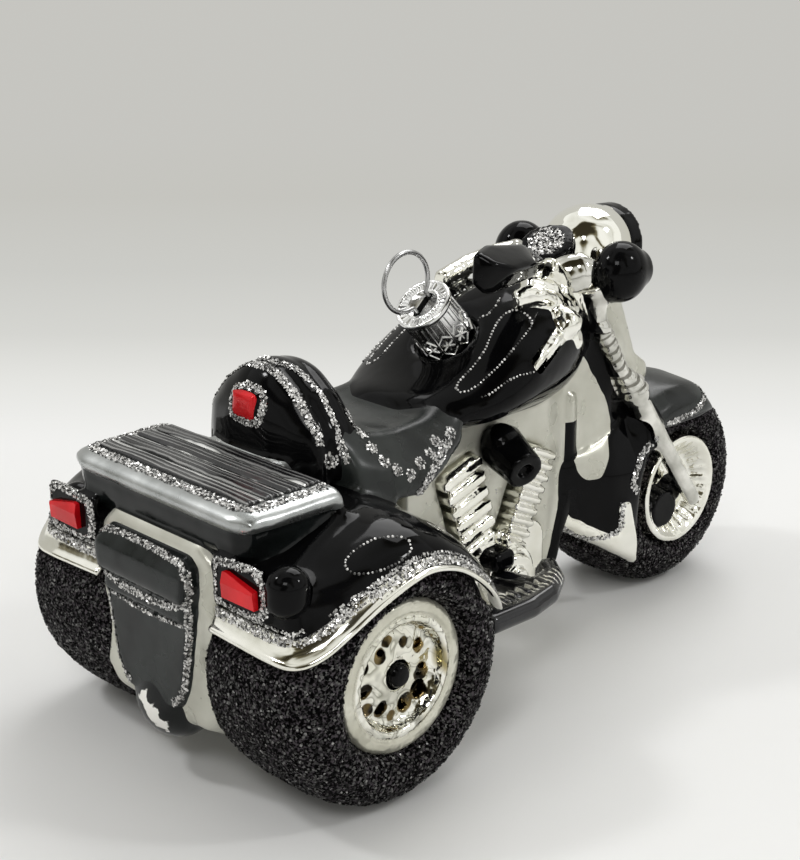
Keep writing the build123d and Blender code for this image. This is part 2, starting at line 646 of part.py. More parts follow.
BOARD_Z = 15.4
BOARD_H = 1.8
ROLL_R = 1.75
BOARD_PLAN = ((26.4, -19.6), (26.4, -23.0), (36.0, -23.2), (42.0, -22.2), (46.2, -19.6), (48.4, -16.2), (46.8, -14.2),
              (43.0, -17.4), (34.0, -19.2))
ROLL_PATH = ((26.6, -22.6, 16.2), (36.0, -22.8, 16.2), (41.4, -21.8, 16.4), (45.6, -19.3, 16.9), (47.7, -15.9, 17.5))
BOARD_RIBS = 8


def footboard():
    """Right footboard: ribbed across, with a thick rolled outer edge."""
    board = extrude(Pos(0, 0, BOARD_Z) * make_face(Polyline(*BOARD_PLAN, close=True)), BOARD_H)
    board += chain(ROLL_PATH, ROLL_R)
    for i in range(BOARD_RIBS):
        x = 28.6 + 2.2 * i
        board += box(x - 0.55, x + 0.55, -22.0 + 0.25 * i, -19.4 + 0.25 * i, BOARD_Z + 0.5, BOARD_Z + BOARD_H + 1.0)
    return board + rod((42.0, -7.0, 14.6), (42.0, -18.6, 16.0), 1.9)


BOARD = footboard() - CASE - REAR_TYRE - RIGHT_SKIN - LIP - STARTER
for word, side in SIDES:
    put(f"footboard_{word}", on_side(BOARD, side))

# ---- front end; "back" is measured from the front axle towards the rear ----
# back, half width, low z, high z of the cowl behind the front wheel
COWL_TABLE = (
    (27.9, 6.2, 17.6, 29.0),
    (23.5, 8.8, 14.9, 30.0),
    (18.5, 10.9, 11.6, 31.5),
    (12.9, 11.7, 8.0, 33.5),
    (11.6, 11.7, 22.0, 34.0),
    (8.8, 11.6, 29.0, 34.5),
)
FENDER_START = 40.0          # degrees above level where the front lip is
FENDER_SWEEP = 132.0
FENDER_THICK = 1.5
FENDER_EDGE_Z = 31.2         # lower edge of the front part's sides


def cowl(grow):
    """Cowl that wraps the back of the front tyre."""
    rows = [(WHEELBASE - back, half_w + grow, low - grow, high) for back, half_w, low, high in COWL_TABLE]
    return rounded_loft(rows, 1.6)


def crown():
    """Arched part of the front fender, over the tyre."""
    r_in = FRONT_TYRE_R - 0.2
    r_out = FRONT_TYRE_R + FENDER_THICK
    half = FRONT_TYRE_W / 2 + 0.9
    outline = make_face(Polyline(
        (WHEELBASE + r_in - 5.5, -half), (WHEELBASE + r_out - 3.4, -half), (WHEELBASE + r_out - 0.7, -half * 0.70),
        (WHEELBASE + r_out, 0), (WHEELBASE + r_out - 0.7, half * 0.70), (WHEELBASE + r_out - 3.4, half),
        (WHEELBASE + r_in - 5.5, half), close=True))
    axle = Axis((WHEELBASE, 0, 0), (0, -1, 0))
    arch = Pos(0, 0, FRONT_AXLE_Z) * revolve(outline, axle, revolution_arc=FENDER_SWEEP)
    turned = arch.rotate(Axis((WHEELBASE, 0, FRONT_AXLE_Z), (0, -1, 0)), FENDER_START)
    return turned - box(WHEELBASE - 8.0, WHEELBASE + 40.0, -20, 20, 0, FENDER_EDGE_Z)


# back and z of the bright V-shaped trim on the cowl's side
TRIM_OUTLINE = ((27.8, 20.0), (27.8, 17.2), (20.0, 12.4), (12.7, 7.6), (13.2, 12.5), (15.2, 20.2), (17.4, 20.0),
                (16.6, 14.4), (19.6, 15.0))
TRIM_PRISM = side_panel([(WHEELBASE - back, z) for back, z in TRIM_OUTLINE], -20.0, 20.0)
TRIM_THICK = 0.45
FRONT_SHELL = crown() + cowl(0.0) - FRONT_TYRE - FRONT_PLUG
TRIM = ((cowl(TRIM_THICK) & TRIM_PRISM) - FRONT_TYRE - FRONT_PLUG - box(0, 200, -5.0, 5.0, 0, 60))
SHELL = FRONT_SHELL - TRIM
put("front_fender", SHELL)
put("skirt_trims", TRIM)

# back, y, z of the right fork leg's joints, from the head down
FORK_TOP = (22.9, -8.0, 60.0)
FORK_WAIST = (21.8, -8.0, 56.4)
FORK_COLLAR = (21.2, -8.0, 52.4)
GAITER_TOP = (18.9, -8.0, 50.8)
GAITER_FOOT = (12.4, -9.6, 38.8)
FORK_FOOT = (-1.9, -12.2, 16.6)
GAITER_RIBS = 8
GAITER_R = 2.8


def from_axle(place):
    """A place measured back from the front axle, in the ornament's own lengths."""
    return (WHEELBASE - place[0], place[1], place[2])


def fork_leg():
    """Right fork leg: clamp, collar, ribbed gaiter, knob and tapered slider."""
    top, waist, collar, gaiter, foot, end = (from_axle(p) for p in (
        FORK_TOP, FORK_WAIST, FORK_COLLAR, GAITER_TOP, GAITER_FOOT, FORK_FOOT))
    leg = rod(top, waist, 3.1, 2.2) + rod(waist, collar, 2.2, 2.9)
    leg += rod((collar[0], collar[1], collar[2] + 0.3), (collar[0], collar[1], collar[2] - 0.9), 3.3)
    leg += rod(collar, gaiter, 2.4) + rod(gaiter, foot, GAITER_R - 0.7)
    down = Vector(*foot) - Vector(*gaiter)
    pitch = 1.0 / GAITER_RIBS
    for i in range(GAITER_RIBS):
        start = Vector(*gaiter) + down * (pitch * i)
        mid = Vector(*gaiter) + down * (pitch * (i + 0.62))
        leg += rod(tuple(start), tuple(mid), GAITER_R - 0.5, GAITER_R)
    leg += ball(foot, 2.5) + rod(foot, end, 1.95, 1.45) + ball(end, 1.45)
    return leg


LEG = fork_leg() - SHELL - FRONT_TYRE - FRONT_FACE - FRONT_HUB - TANK - TRIM
LEGS = both(LEG)
for word, side in SIDES:
    put(f"fork_leg_{word}", on_side(LEG, side))

# back, half width, low z, high z of the pearl web between the engine and the fork
WEB_TABLE = (
    (26.4, 5.4, 26.0, 51.0),
    (22.5, 6.4, 25.0, 53.0),
    (17.5, 7.6, 26.0, 53.0),
    (11.0, 7.2, 29.0, 50.0),
    (6.5, 5.0, 33.0, 43.0),
)
# back and z of the pearl shroud that fills the space between the fork legs
SHROUD_OUTLINE = ((24.0, 56.0), (14.5, 59.5), (9.2, 55.0), (4.6, 44.0), (4.4, 38.6), (10.0, 38.0), (18.0, 48.0))
WEB_ROWS = [(WHEELBASE - back, half_w, low, high) for back, half_w, low, high in WEB_TABLE]
SHROUD = side_panel([(WHEELBASE - back, z) for back, z in SHROUD_OUTLINE], -6.4, 6.4)
WEB = rounded_loft(WEB_ROWS, 2.4) + fillet(SHROUD.edges().filter_by(Axis.Y), 1.2)
WEB = WEB - SHELL - FRONT_TYRE - FRONT_PLUG - TANK - CASE - LEGS - TRIM
put("front_web", WEB)

HEAD_BACK = 20.5             # middle of the steering head
HEAD = box(WHEELBASE - HEAD_BACK - 5.5, WHEELBASE - HEAD_BACK + 4.0, -7.0, 7.0, 55.0, 62.0)
HEAD = fillet(HEAD.edges().filter_by(Axis.Y), 1.6)
HEAD += rod((WHEELBASE - 20.6, -4.6, 59.4), (WHEELBASE - 21.6, -5.8, 62.4), 4.4, 4.0)
HEAD = HEAD - TANK - WEB - LEGS
put("steering_head", HEAD)
LAMP_BACK = 15.3             # middle of the headlamp's dome
DOME_Z = 63.6
DOME_R = 7.4
DOME = ball((WHEELBASE - LAMP_BACK, 0, DOME_Z), DOME_R, (1.08, 1.0, 0.98)) - HEAD - LEGS - WEB
RIM_R = DOME_R * 0.93
RIM_X = WHEELBASE - LAMP_BACK + DOME_R * 0.5
RIM_DEPTH = 3.2
RIM = rod((RIM_X, 0, DOME_Z - 0.2), (RIM_X + RIM_DEPTH, 0, DOME_Z - 0.4), RIM_R) - DOME - WEB - LEGS
put("headlamp_nacelle", DOME)
put("headlamp_rim", RIM)
LENS_X = RIM_X + RIM_DEPTH
put("headlamp_lens", rod((LENS_X, 0, DOME_Z - 0.4), (LENS_X + 1.0, 0, DOME_Z - 0.5), RIM_R * 0.82, RIM_R * 0.6) - RIM - DOME)
GAUGE_FOOT = (23.6, 0.6, 61.6)
GAUGE_TOP = (25.9, -0.4, 66.2)
GAUGE = rod(from_axle(GAUGE_FOOT), from_axle(GAUGE_TOP), 3.8, 4.4) - HEAD - TANK - DOME - LEGS
put("instrument", GAUGE)
PASSING_LAMP = (19.6, -11.0, 61.8)
EGG = (5.0, 4.4, 5.2)        # half sizes of a passing lamp
for word, side in SIDES:
    place = from_axle(PASSING_LAMP)
    lamp = ball(place, 1.0, EGG) + rod((place[0] + 1.6, place[1], place[2]), (place[0] + EGG[0], place[1], place[2]), EGG[1] * 0.92, EGG[1] * 0.74)
    put(f"passing_lamp_{word}", on_side(lamp - HEAD - DOME - LEG - RIM, side))

# back, y, z of each handlebar's points from the grip's end inwards, then the
# grip's radius at its end, middle and tip and the bar's radius
BAR_TABLE = {
    "right": ((52.0, -10.2, 67.3), (43.4, -8.7, 65.6), (33.4, -7.0, 64.4), (27.2, -6.2, 60.0), (25.2, -6.4, 53.4),
              (3.4, 2.6, 1.3), 1.7),
    "left": ((42.4, 8.2, 61.0), (36.0, 8.2, 62.4), (30.0, 8.0, 63.4), (26.0, 7.4, 63.6), (22.0, 6.6, 62.0),
             (1.5, 1.7, 1.5), 1.5),
}
for word, side in SIDES:
    end, middle, tip, elbow, root, radii, bar_r = BAR_TABLE[word]
    end, middle, tip, elbow, root = (from_axle(p) for p in (end, middle, tip, elbow, root))
    lamp = NODES[f"passing_lamp_{word}"]
    grip = rod(end, middle, radii[0], radii[1]) + ball(middle, radii[1]) + rod(middle, tip, radii[1], radii[2])
    grip = grip - TANK - HEAD - DOME - GAUGE
    bar = chain((tip, elbow, root), bar_r) - grip - HEAD - TANK - GAUGE - DOME - lamp - LEGS - WEB
    put(f"grip_{word}", grip)
    put(f"bar_{word}", bar)
BAR_RIGHT = NODES["bar_right"]
GRIP_RIGHT = NODES["grip_right"]

# points and radius of each strand of the cable bundle over the tank
CABLE_TABLE = (
    (((47.4, -8.0, 60.6), (50.4, -9.2, 61.2), (55.0, -9.6, 59.0), (57.0, -10.6, 55.4)), 1.5),
    (((51.6, -6.0, 62.4), (56.0, -8.0, 60.4), (58.6, -9.6, 56.6)), 1.5),
    (((55.6, -11.4, 54.6), (50.6, -13.6, 54.4), (46.4, -14.8, 52.6), (44.4, -15.0, 51.4)), 1.3),
    (((55.0, -4.0, 62.6), (59.4, -7.0, 60.0), (60.6, -9.0, 56.0)), 1.4),
)
BUNDLE = ball((54.8, -12.2, 56.2), 2.7) + ball((56.8, -11.6, 53.2), 2.3)
for points, radius in CABLE_TABLE:
    BUNDLE += chain(points, radius)
BUNDLE = BUNDLE - TANK - GRIP_RIGHT - BAR_RIGHT - HEAD - GAUGE - LEGS - WEB
put("cable_bundle", BUNDLE)

TUBE_R = 1.15
# back, y, z of the black down tube beside the pearl core
TUBE_PATH = ((25.4, -5.8, 41.0), (25.3, -6.0, 26.0), (30.6, -7.0, 12.0))
TUBE = chain([from_axle(p) for p in TUBE_PATH], TUBE_R) - TANK - WEB - SHELL - CASE - FRONT_TYRE - TRIM
put("down_tubes", both(TUBE))
CORE = rounded_loft(CORE_TABLE, 2.0) - CASE - CYL_SPACE - TANK - SEAT - BODY - AIR_CLEANER - NECK_HOLE - WEB - SHELL
CORE = CORE - both(TUBE) - both(STARTER) - both(BOARD) - TRIM - FRONT_TYRE - ALL_SKINS
put("frame_core", CORE)

# ---- cap and hanger loop ----
SLOT_HALF = 2.6              # half the length of the cap's slot
LEG_SPREAD = SLOT_HALF - WIRE_R - FIT
LOOP_RISE = 1.0              # straight wire between the cap and the ring
LEG_DROP = 5.0               # wire inside the neck
TONGUES = 10                 # pointed tongues around the cap's skirt
TONGUE_H = 2.2


def neck_point(across, out):
    """A point in the middle plane: across the neck's axis, out from its foot."""
    lean = math.radians(NECK_TILT)
    x = NECK_FOOT[0] + across * math.cos(lean) - out * math.sin(lean)
    z = NECK_FOOT[2] + across * math.sin(lean) + out * math.cos(lean)
    return (x, 0.0, z)


def cap():
    """Crimped metal cap over the neck, slotted for the wire, its skirt cut in tongues."""
    base = frame_at(NECK_FOOT, NECK_AXIS)
    low = (Align.CENTER, Align.CENTER, Align.MIN)
    shell = Pos(0, 0, SKIRT_GAP) * Cylinder(CAP_R, CAP_HEIGHT - SKIRT_GAP, align=low)
    shell += Pos(0, 0, CAP_HEIGHT) * (Cylinder(CAP_R, 0.3, align=low) - Cylinder(CAP_R - 0.8, 0.3, align=low))
    shell -= Pos(0, 0, -1.0) * Cylinder(NECK_R + FIT, CAP_HEIGHT - CAP_WALL + 1.0, align=low)
    shell -= Pos(0, 0, CAP_HEIGHT) * Box(2 * (WIRE_R + FIT), 2 * SLOT_HALF, 4.0)
    half = math.pi * CAP_R / TONGUES
    notch = Plane(origin=(CAP_R - 2.0, 0, 0), x_dir=(0, 1, 0), z_dir=(1, 0, 0)) * make_face(Polyline(
        (-half * 0.94, SKIRT_GAP - 0.4), (half * 0.94, SKIRT_GAP - 0.4), (0, SKIRT_GAP + TONGUE_H), close=True))
    notch = extrude(notch, 4.0)
    for i in range(TONGUES):
        shell -= Rot(0, 0, 360 / TONGUES * (i + 0.5)) * notch
    return base * shell


def hanger_loop():
    """Wire ring with two legs that spring inside the neck."""
    gap = math.asin(LEG_SPREAD / LOOP_R)
    foot_out = CAP_HEIGHT + LOOP_RISE
    centre = neck_point(0.0, foot_out + LOOP_R * math.cos(gap))
    start = neck_point(LEG_SPREAD, foot_out)
    to_centre = Vector(*centre) - Vector(*start)
    tangent = to_centre.cross(Vector(0, 1, 0)).normalized()
    wire = Plane(origin=start, x_dir=(0, 1, 0), z_dir=tangent) * Circle(WIRE_R)
    turn = 360.0 - 2.0 * math.degrees(gap)
    ring = revolve(wire, Axis(centre, (0, -1, 0)), revolution_arc=turn)
    for across in (-LEG_SPREAD, LEG_SPREAD):
        ring += rod(neck_point(across, CAP_HEIGHT - LEG_DROP), neck_point(across, foot_out), WIRE_R)
        ring += ball(neck_point(across, foot_out), WIRE_R)
    return ring


put("cap", cap())
put("hanger_loop", hanger_loop())

# ---- export ----
CRUMB = 0.6                  # cubic mm; smaller pieces left by a cut are dropped

for name, shape in NODES.items():
    solids = [s for s in shape.solids() if s.volume > CRUMB]
    export_step(Compound(Pos(-CENTRE_X, 0, 0) * s for s in solids), f"parts/{name}.step")
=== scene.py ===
"""Finish and glitter for the blown-glass trike ornament.

The moulded glass is a smooth skin over the CAD's solids, cut where the paint
changes.  Glitter is real flakes laid along the painted lines and all over the
tyres.  Places are in millimetres, measured forward from the rear axle.
"""
import json
import math
import random

import bmesh
import bpy
import numpy as np
import mathutils
from mathutils import Matrix, Vector
from mathutils.bvhtree import BVHTree


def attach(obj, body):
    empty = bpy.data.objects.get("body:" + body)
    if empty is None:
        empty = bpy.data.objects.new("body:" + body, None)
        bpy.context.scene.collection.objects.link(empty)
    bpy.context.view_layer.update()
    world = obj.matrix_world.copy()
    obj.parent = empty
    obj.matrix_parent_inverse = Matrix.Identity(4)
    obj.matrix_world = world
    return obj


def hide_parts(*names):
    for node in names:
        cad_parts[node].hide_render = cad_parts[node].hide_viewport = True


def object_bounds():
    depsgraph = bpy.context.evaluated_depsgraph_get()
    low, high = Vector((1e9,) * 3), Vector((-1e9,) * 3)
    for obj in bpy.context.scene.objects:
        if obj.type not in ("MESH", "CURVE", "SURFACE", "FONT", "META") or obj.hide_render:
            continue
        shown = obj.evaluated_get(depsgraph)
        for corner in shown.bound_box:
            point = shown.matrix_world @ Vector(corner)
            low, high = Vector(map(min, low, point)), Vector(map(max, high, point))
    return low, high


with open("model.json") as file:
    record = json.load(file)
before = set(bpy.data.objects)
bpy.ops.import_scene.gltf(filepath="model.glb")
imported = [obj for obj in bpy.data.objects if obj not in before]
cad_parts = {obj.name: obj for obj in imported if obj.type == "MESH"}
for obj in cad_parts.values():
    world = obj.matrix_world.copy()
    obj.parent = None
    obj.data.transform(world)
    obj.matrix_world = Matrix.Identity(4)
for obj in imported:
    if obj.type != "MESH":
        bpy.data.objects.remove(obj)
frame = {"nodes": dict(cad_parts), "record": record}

CAD_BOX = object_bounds()
NODES = frame["nodes"]
MM = 0.001
SLOT_OF = {entry["node"]: entry["material_slot"] for entry in frame["record"]["subparts"]}

# ---- places, in millimetres ----
REAR_AXLE_X = -43.15         # the origin lies midway along the ornament
REAR_AXLE_Z = 20.0
TRUNK_BACK_X = -17.8
TRUNK_FRONT_X = -0.6
TRUNK_HALF_W = 19.7
RIM_TOP_Z = 45.3
NECK_FOOT = (40.9, 0.0, 53.9)
NECK_TILT = 41.4
CAP_R = 4.75


def at(x, y, z):
    """A point measured from the rear axle, in metres of the row frame."""
    return Vector(((x + REAR_AXLE_X) * MM, y * MM, z * MM))


def place_of(point):
    """A point of the row frame in millimetres, measured from the rear axle."""
    return point.x / MM - REAR_AXLE_X, point.y / MM, point.z / MM


def all_at(points):
    """A row of points, in metres."""
    return [at(*p) for p in points]


def pair(name):
    """The right and the left node of a name."""
    return f"{name}_right", f"{name}_left"


# ---- camera, stage and light ----
CAMERA_AT = (-153.6, -188.5, 131.9)
CAMERA_AIM = (32.5, 2.58, 39.93)
CAMERA_LENS = 74.0
# level directions away from the camera, and to its right
AWAY = (at(*CAMERA_AIM[:2], 0) - at(*CAMERA_AT[:2], 0)).normalized()
ACROSS = Vector((AWAY.y, -AWAY.x, 0))
# the backdrop's reach, in metres from the ornament
STAGE_FAR = 1.0
STAGE_NEAR = -8.0
STAGE_HALF_W = 5.0
STAGE_RISE = 1.2
STAGE_BEND_R = 0.4
STAGE_BEND_PARTS = 16
STAGE_GAP = 0.00002          # how far the floor lies under what stands on it
FLOOR_LIGHT = (0.725, 0.725, 0.72)
TONES_REACH = 0.5            # metres beyond the ornament that the tones below are spread over
TONES_PER_RISE = 0.6         # how much a metre up the backdrop counts as distance
# painted light: the glow's tones, pale near the ornament and grey further back and up, stand in for the light
# falling off over the backdrop
BACKDROP_PAINTED_LIGHT = (
    (0.0, (0.91, 0.91, 0.89)), (0.20, (0.89, 0.89, 0.87)), (0.30, (0.78, 0.78, 0.75)),
    (0.38, (0.67, 0.67, 0.64)), (0.52, (0.60, 0.60, 0.57)), (0.75, (0.56, 0.555, 0.52)),
    (1.0, (0.565, 0.56, 0.53)),
)
GLOW_FROM = 0.045
GLOW_FULL = 0.12
ROOM_TONES = (
    (0.0, (0.02, 0.017, 0.010)), (0.38, (0.04, 0.034, 0.020)), (0.43, (0.18, 0.16, 0.10)),
    (0.48, (0.80, 0.80, 0.76)), (0.58, (1.0, 1.0, 0.98)), (1.0, (1.0, 1.0, 0.98)),
)
ROOM_STRENGTH = 0.92
LIT_HEIGHT = 0.03            # the lights aim at this height over the origin
# name, metres beyond, across and above the ornament, the two sides of its area, power
LAMPS = (
    ("key_beyond", 0.38, 0.16, 0.60, 0.42, 0.42, 2.4),
    ("lamp_left", 0.0, -0.45, 0.55, 0.08, 0.08, 1.0),
    ("lamp_right", -0.12, 0.50, 0.48, 0.07, 0.07, 0.75),
    ("lamp_near", -0.50, -0.10, 0.50, 0.20, 0.16, 0.9),
)


def new_object(name, mesh):
    """Links a mesh as an object."""
    obj = bpy.data.objects.new(name, mesh)
    bpy.context.scene.collection.objects.link(obj)
    return obj


def make_camera():
    """The camera behind and to the right of the ornament."""
    data = bpy.data.cameras.new("camera")
    data.sensor_width = 36.0
    data.lens = CAMERA_LENS
    data.clip_start = 0.01
    data.clip_end = 20.0
    camera = new_object("camera", data)
    camera.location = at(*CAMERA_AT)
    look = at(*CAMERA_AIM) - camera.location
    camera.rotation_mode = "QUATERNION"
    camera.rotation_quaternion = look.to_track_quat("-Z", "Y")
    bpy.context.scene.camera = camera


def backdrop_mesh():
    """A floor that curves up into a wall behind the ornament."""
    mesh = bpy.data.meshes.new("backdrop")
    build = bmesh.new()
    bend = STAGE_FAR - STAGE_BEND_R
    profile = [(STAGE_NEAR, 0.0), (bend, 0.0)]
    for i in range(1, STAGE_BEND_PARTS + 1):
        turn = math.radians(90 * i / STAGE_BEND_PARTS)
        profile.append((bend + STAGE_BEND_R * math.sin(turn), STAGE_BEND_R - STAGE_BEND_R * math.cos(turn)))
    profile.append((STAGE_FAR, STAGE_RISE))
    rows = []
    for forward, height in profile:
        centre = AWAY * forward + Vector((0, 0, height - STAGE_GAP))
        rows.append([build.verts.new(centre + ACROSS * s) for s in (-STAGE_HALF_W, STAGE_HALF_W)])
    for low, high in zip(rows, rows[1:]):
        build.faces.new((low[0], low[1], high[1], high[0]))
    bmesh.ops.recalc_face_normals(build, faces=build.faces)
    build.to_mesh(mesh)
    build.free()
    mesh.polygons.foreach_set("use_smooth", [True] * len(mesh.polygons))
    return mesh


def backdrop_material():
    """Plain paper to the light; to the camera and in reflections, a glow of painted light that darkens
    further back and up.
    """
    material, bsdf = shader("backdrop_paper", FLOOR_LIGHT, 0.7)
    tree = material.node_tree
    coords = tree.nodes.new("ShaderNodeTexCoord")
    distance = tree.nodes.new("ShaderNodeVectorMath")
    distance.operation = "DOT_PRODUCT"
    distance.inputs[1].default_value = (AWAY.x, AWAY.y, TONES_PER_RISE)
    tree.links.new(coords.outputs["Object"], distance.inputs[0])
    # the glow, seen by the camera and in reflections, carries the backdrop's painted light
    glow = tree.nodes.new("ShaderNodeEmission")
    share = spread_value(tree, distance.outputs["Value"], 0.0, TONES_REACH)
    tree.links.new(ramp(tree, share, BACKDROP_PAINTED_LIGHT), glow.inputs["Color"])
    path = tree.nodes.new("ShaderNodeLightPath")
    seen = plus(tree, path.outputs["Is Camera Ray"], path.outputs["Is Glossy Ray"])
    seen = math_node(tree, "MINIMUM", plus(tree, seen, path.outputs["Is Transmission Ray"]), 1.0)
    beyond = spread_value(tree, distance.outputs["Value"], GLOW_FROM, GLOW_FULL)
    blend = tree.nodes.new("ShaderNodeMixShader")
    tree.links.new(times(tree, seen, beyond), blend.inputs["Fac"])
    tree.links.new(bsdf.outputs["BSDF"], blend.inputs[1])
    tree.links.new(glow.outputs["Emission"], blend.inputs[2])
    tree.links.new(blend.outputs["Shader"], tree.nodes["Material Output"].inputs["Surface"])
    return material


def make_stage():
    """A pale seamless backdrop."""
    backdrop = new_object("backdrop", backdrop_mesh())
    backdrop.data.materials.append(backdrop_material())


def area_light(name, away, across, height, size, size_y, power):
    """A soft rectangular light, placed beyond, beside and above the ornament."""
    data = bpy.data.lights.new(name, "AREA")
    data.energy = power
    data.shape = "RECTANGLE"
    data.size = size
    data.size_y = size_y
    light = new_object(name, data)
    light.location = AWAY * away + ACROSS * across + Vector((0, 0, height))
    light.rotation_mode = "QUATERNION"
    light.rotation_quaternion = (Vector((0, 0, LIT_HEIGHT)) - light.location).to_track_quat("-Z", "Y")


def make_light():
    """Plain soft studio light: a pale room with a dim side, and softboxes."""
    world = bpy.data.worlds.new("studio")
    bpy.context.scene.world = world
    world.use_nodes = True
    tree = world.node_tree
    back = tree.nodes["Background"]
    coords = tree.nodes.new("ShaderNodeTexCoord")
    room = tree.nodes.new("ShaderNodeTexNoise")
    for name, value in (("Scale", 1.1), ("Detail", 1.6), ("Roughness", 0.45), ("Distortion", 0.8)):
        room.inputs[name].default_value = value
    tree.links.new(coords.outputs["Generated"], room.inputs["Vector"])
    tree.links.new(ramp(tree, room.outputs["Fac"], ROOM_TONES), back.inputs["Color"])
    back.inputs["Strength"].default_value = ROOM_STRENGTH
    for lamp in LAMPS:
        area_light(*lamp)


# ---- materials ----
BLACK = (0.0, 0.0, 0.0)
WHITE = (1.0, 1.0, 1.0)


def shader(name, base, roughness, metallic=0.0):
    """A material with its Principled node's plain values set."""
    material = bpy.data.materials.new(name)
    material.use_nodes = True
    bsdf = material.node_tree.nodes["Principled BSDF"]
    bsdf.inputs["Base Color"].default_value = (*base, 1.0)
    bsdf.inputs["Roughness"].default_value = roughness
    bsdf.inputs["Metallic"].default_value = metallic
    return material, bsdf


def noise(tree, scale, detail=2.0, distortion=0.0):
    """A noise texture's value on the object's own coordinates."""
    coords = tree.nodes.new("ShaderNodeTexCoord")
    texture = tree.nodes.new("ShaderNodeTexNoise")
    for name, value in (("Scale", scale), ("Detail", detail), ("Distortion", distortion)):
        texture.inputs[name].default_value = value
    tree.links.new(coords.outputs["Object"], texture.inputs["Vector"])
    return texture.outputs["Fac"]


def ramp(tree, source, stops):
    """The colour that a value has along a colour ramp."""
    node = tree.nodes.new("ShaderNodeValToRGB")
    elements = node.color_ramp.elements
    while len(elements) < len(stops):
        elements.new(0.5)
    for element, (place, colour) in zip(elements, stops):
        element.position = place
        element.color = (*colour, 1.0)
    tree.links.new(source, node.inputs["Fac"])
    return node.outputs["Color"]


def spread_value(tree, source, low, high, to_low=0.0, to_high=1.0):
    """Maps a value from one range to another."""
    node = tree.nodes.new("ShaderNodeMapRange")
    for name, value in (("From Min", low), ("From Max", high), ("To Min", to_low), ("To Max", to_high)):
        node.inputs[name].default_value = value
    tree.links.new(source, node.inputs["Value"])
    return node.outputs["Result"]


def math_node(tree, operation, first, second=0.0):
    """One sum on one or two values or sockets."""
    node = tree.nodes.new("ShaderNodeMath")
    node.operation = operation
    for socket, value in zip(node.inputs, (first, second)):
        if isinstance(value, (int, float)):
            socket.default_value = value
        else:
            tree.links.new(value, socket)
    return node.outputs["Value"]


def plus(tree, first, second):
    """The sum of two values or sockets."""
    return math_node(tree, "ADD", first, second)


def minus(tree, first, second):
    """The difference of two values or sockets."""
    return math_node(tree, "SUBTRACT", first, second)


def times(tree, first, second):
    """The product of two values or sockets."""
    return math_node(tree, "MULTIPLY", first, second)


def length_of(tree, across, up):
    """The length of a line that runs so far across and so far up."""
    return math_node(tree, "SQRT", plus(tree, times(tree, across, across), times(tree, up, up)))


def object_parts(tree):
    """The object's own X, Y and Z, in metres."""
    coords = tree.nodes.new("ShaderNodeTexCoord")
    parts = tree.nodes.new("ShaderNodeSeparateXYZ")
    tree.links.new(coords.outputs["Object"], parts.inputs["Vector"])
    return tuple(parts.outputs)


def paint_over(tree, bsdf, where, tone):
    """Lays a tone or a colour socket over the paint, as far as a value says."""
    node = tree.nodes.new("ShaderNodeMix")
    node.data_type = "RGBA"
    tree.links.new(where, node.inputs["Factor"])
    tree.links.new(bsdf.inputs["Base Color"].links[0].from_socket, node.inputs[6])
    if isinstance(tone, tuple):
        node.inputs[7].default_value = (*tone, 1.0)
    else:
        tree.links.new(tone, node.inputs[7])
    tree.links.new(node.outputs[2], bsdf.inputs["Base Color"])


def bump(tree, bsdf, height, distance):
    """Bumps the surface by a texture's height, in metres."""
    node = tree.nodes.new("ShaderNodeBump")
    node.inputs["Distance"].default_value = distance
    tree.links.new(height, node.inputs["Height"])
    tree.links.new(node.outputs["Normal"], bsdf.inputs["Normal"])


def painted(name, dark, light, rough, metallic=0.0, wave=0.00005, scale=160.0, wave_scale=240.0,
            specular=0.5, span=(0.35, 0.68)):
    """Hand-brushed paint on glass: uneven colour, uneven gloss, soft waves."""
    material, bsdf = shader(name, dark, rough[0], metallic)
    tree = material.node_tree
    patch = noise(tree, scale, 3.0)
    tree.links.new(ramp(tree, patch, ((span[0], dark), (span[1], light))), bsdf.inputs["Base Color"])
    tree.links.new(spread_value(tree, patch, 0.3, 0.7, *rough), bsdf.inputs["Roughness"])
    bsdf.inputs["Specular IOR Level"].default_value = specular
    bump(tree, bsdf, noise(tree, wave_scale), wave)
    return material, bsdf


SILVER_DULL = (0.80, 0.79, 0.70)
SILVER_BRIGHT = (0.95, 0.94, 0.88)
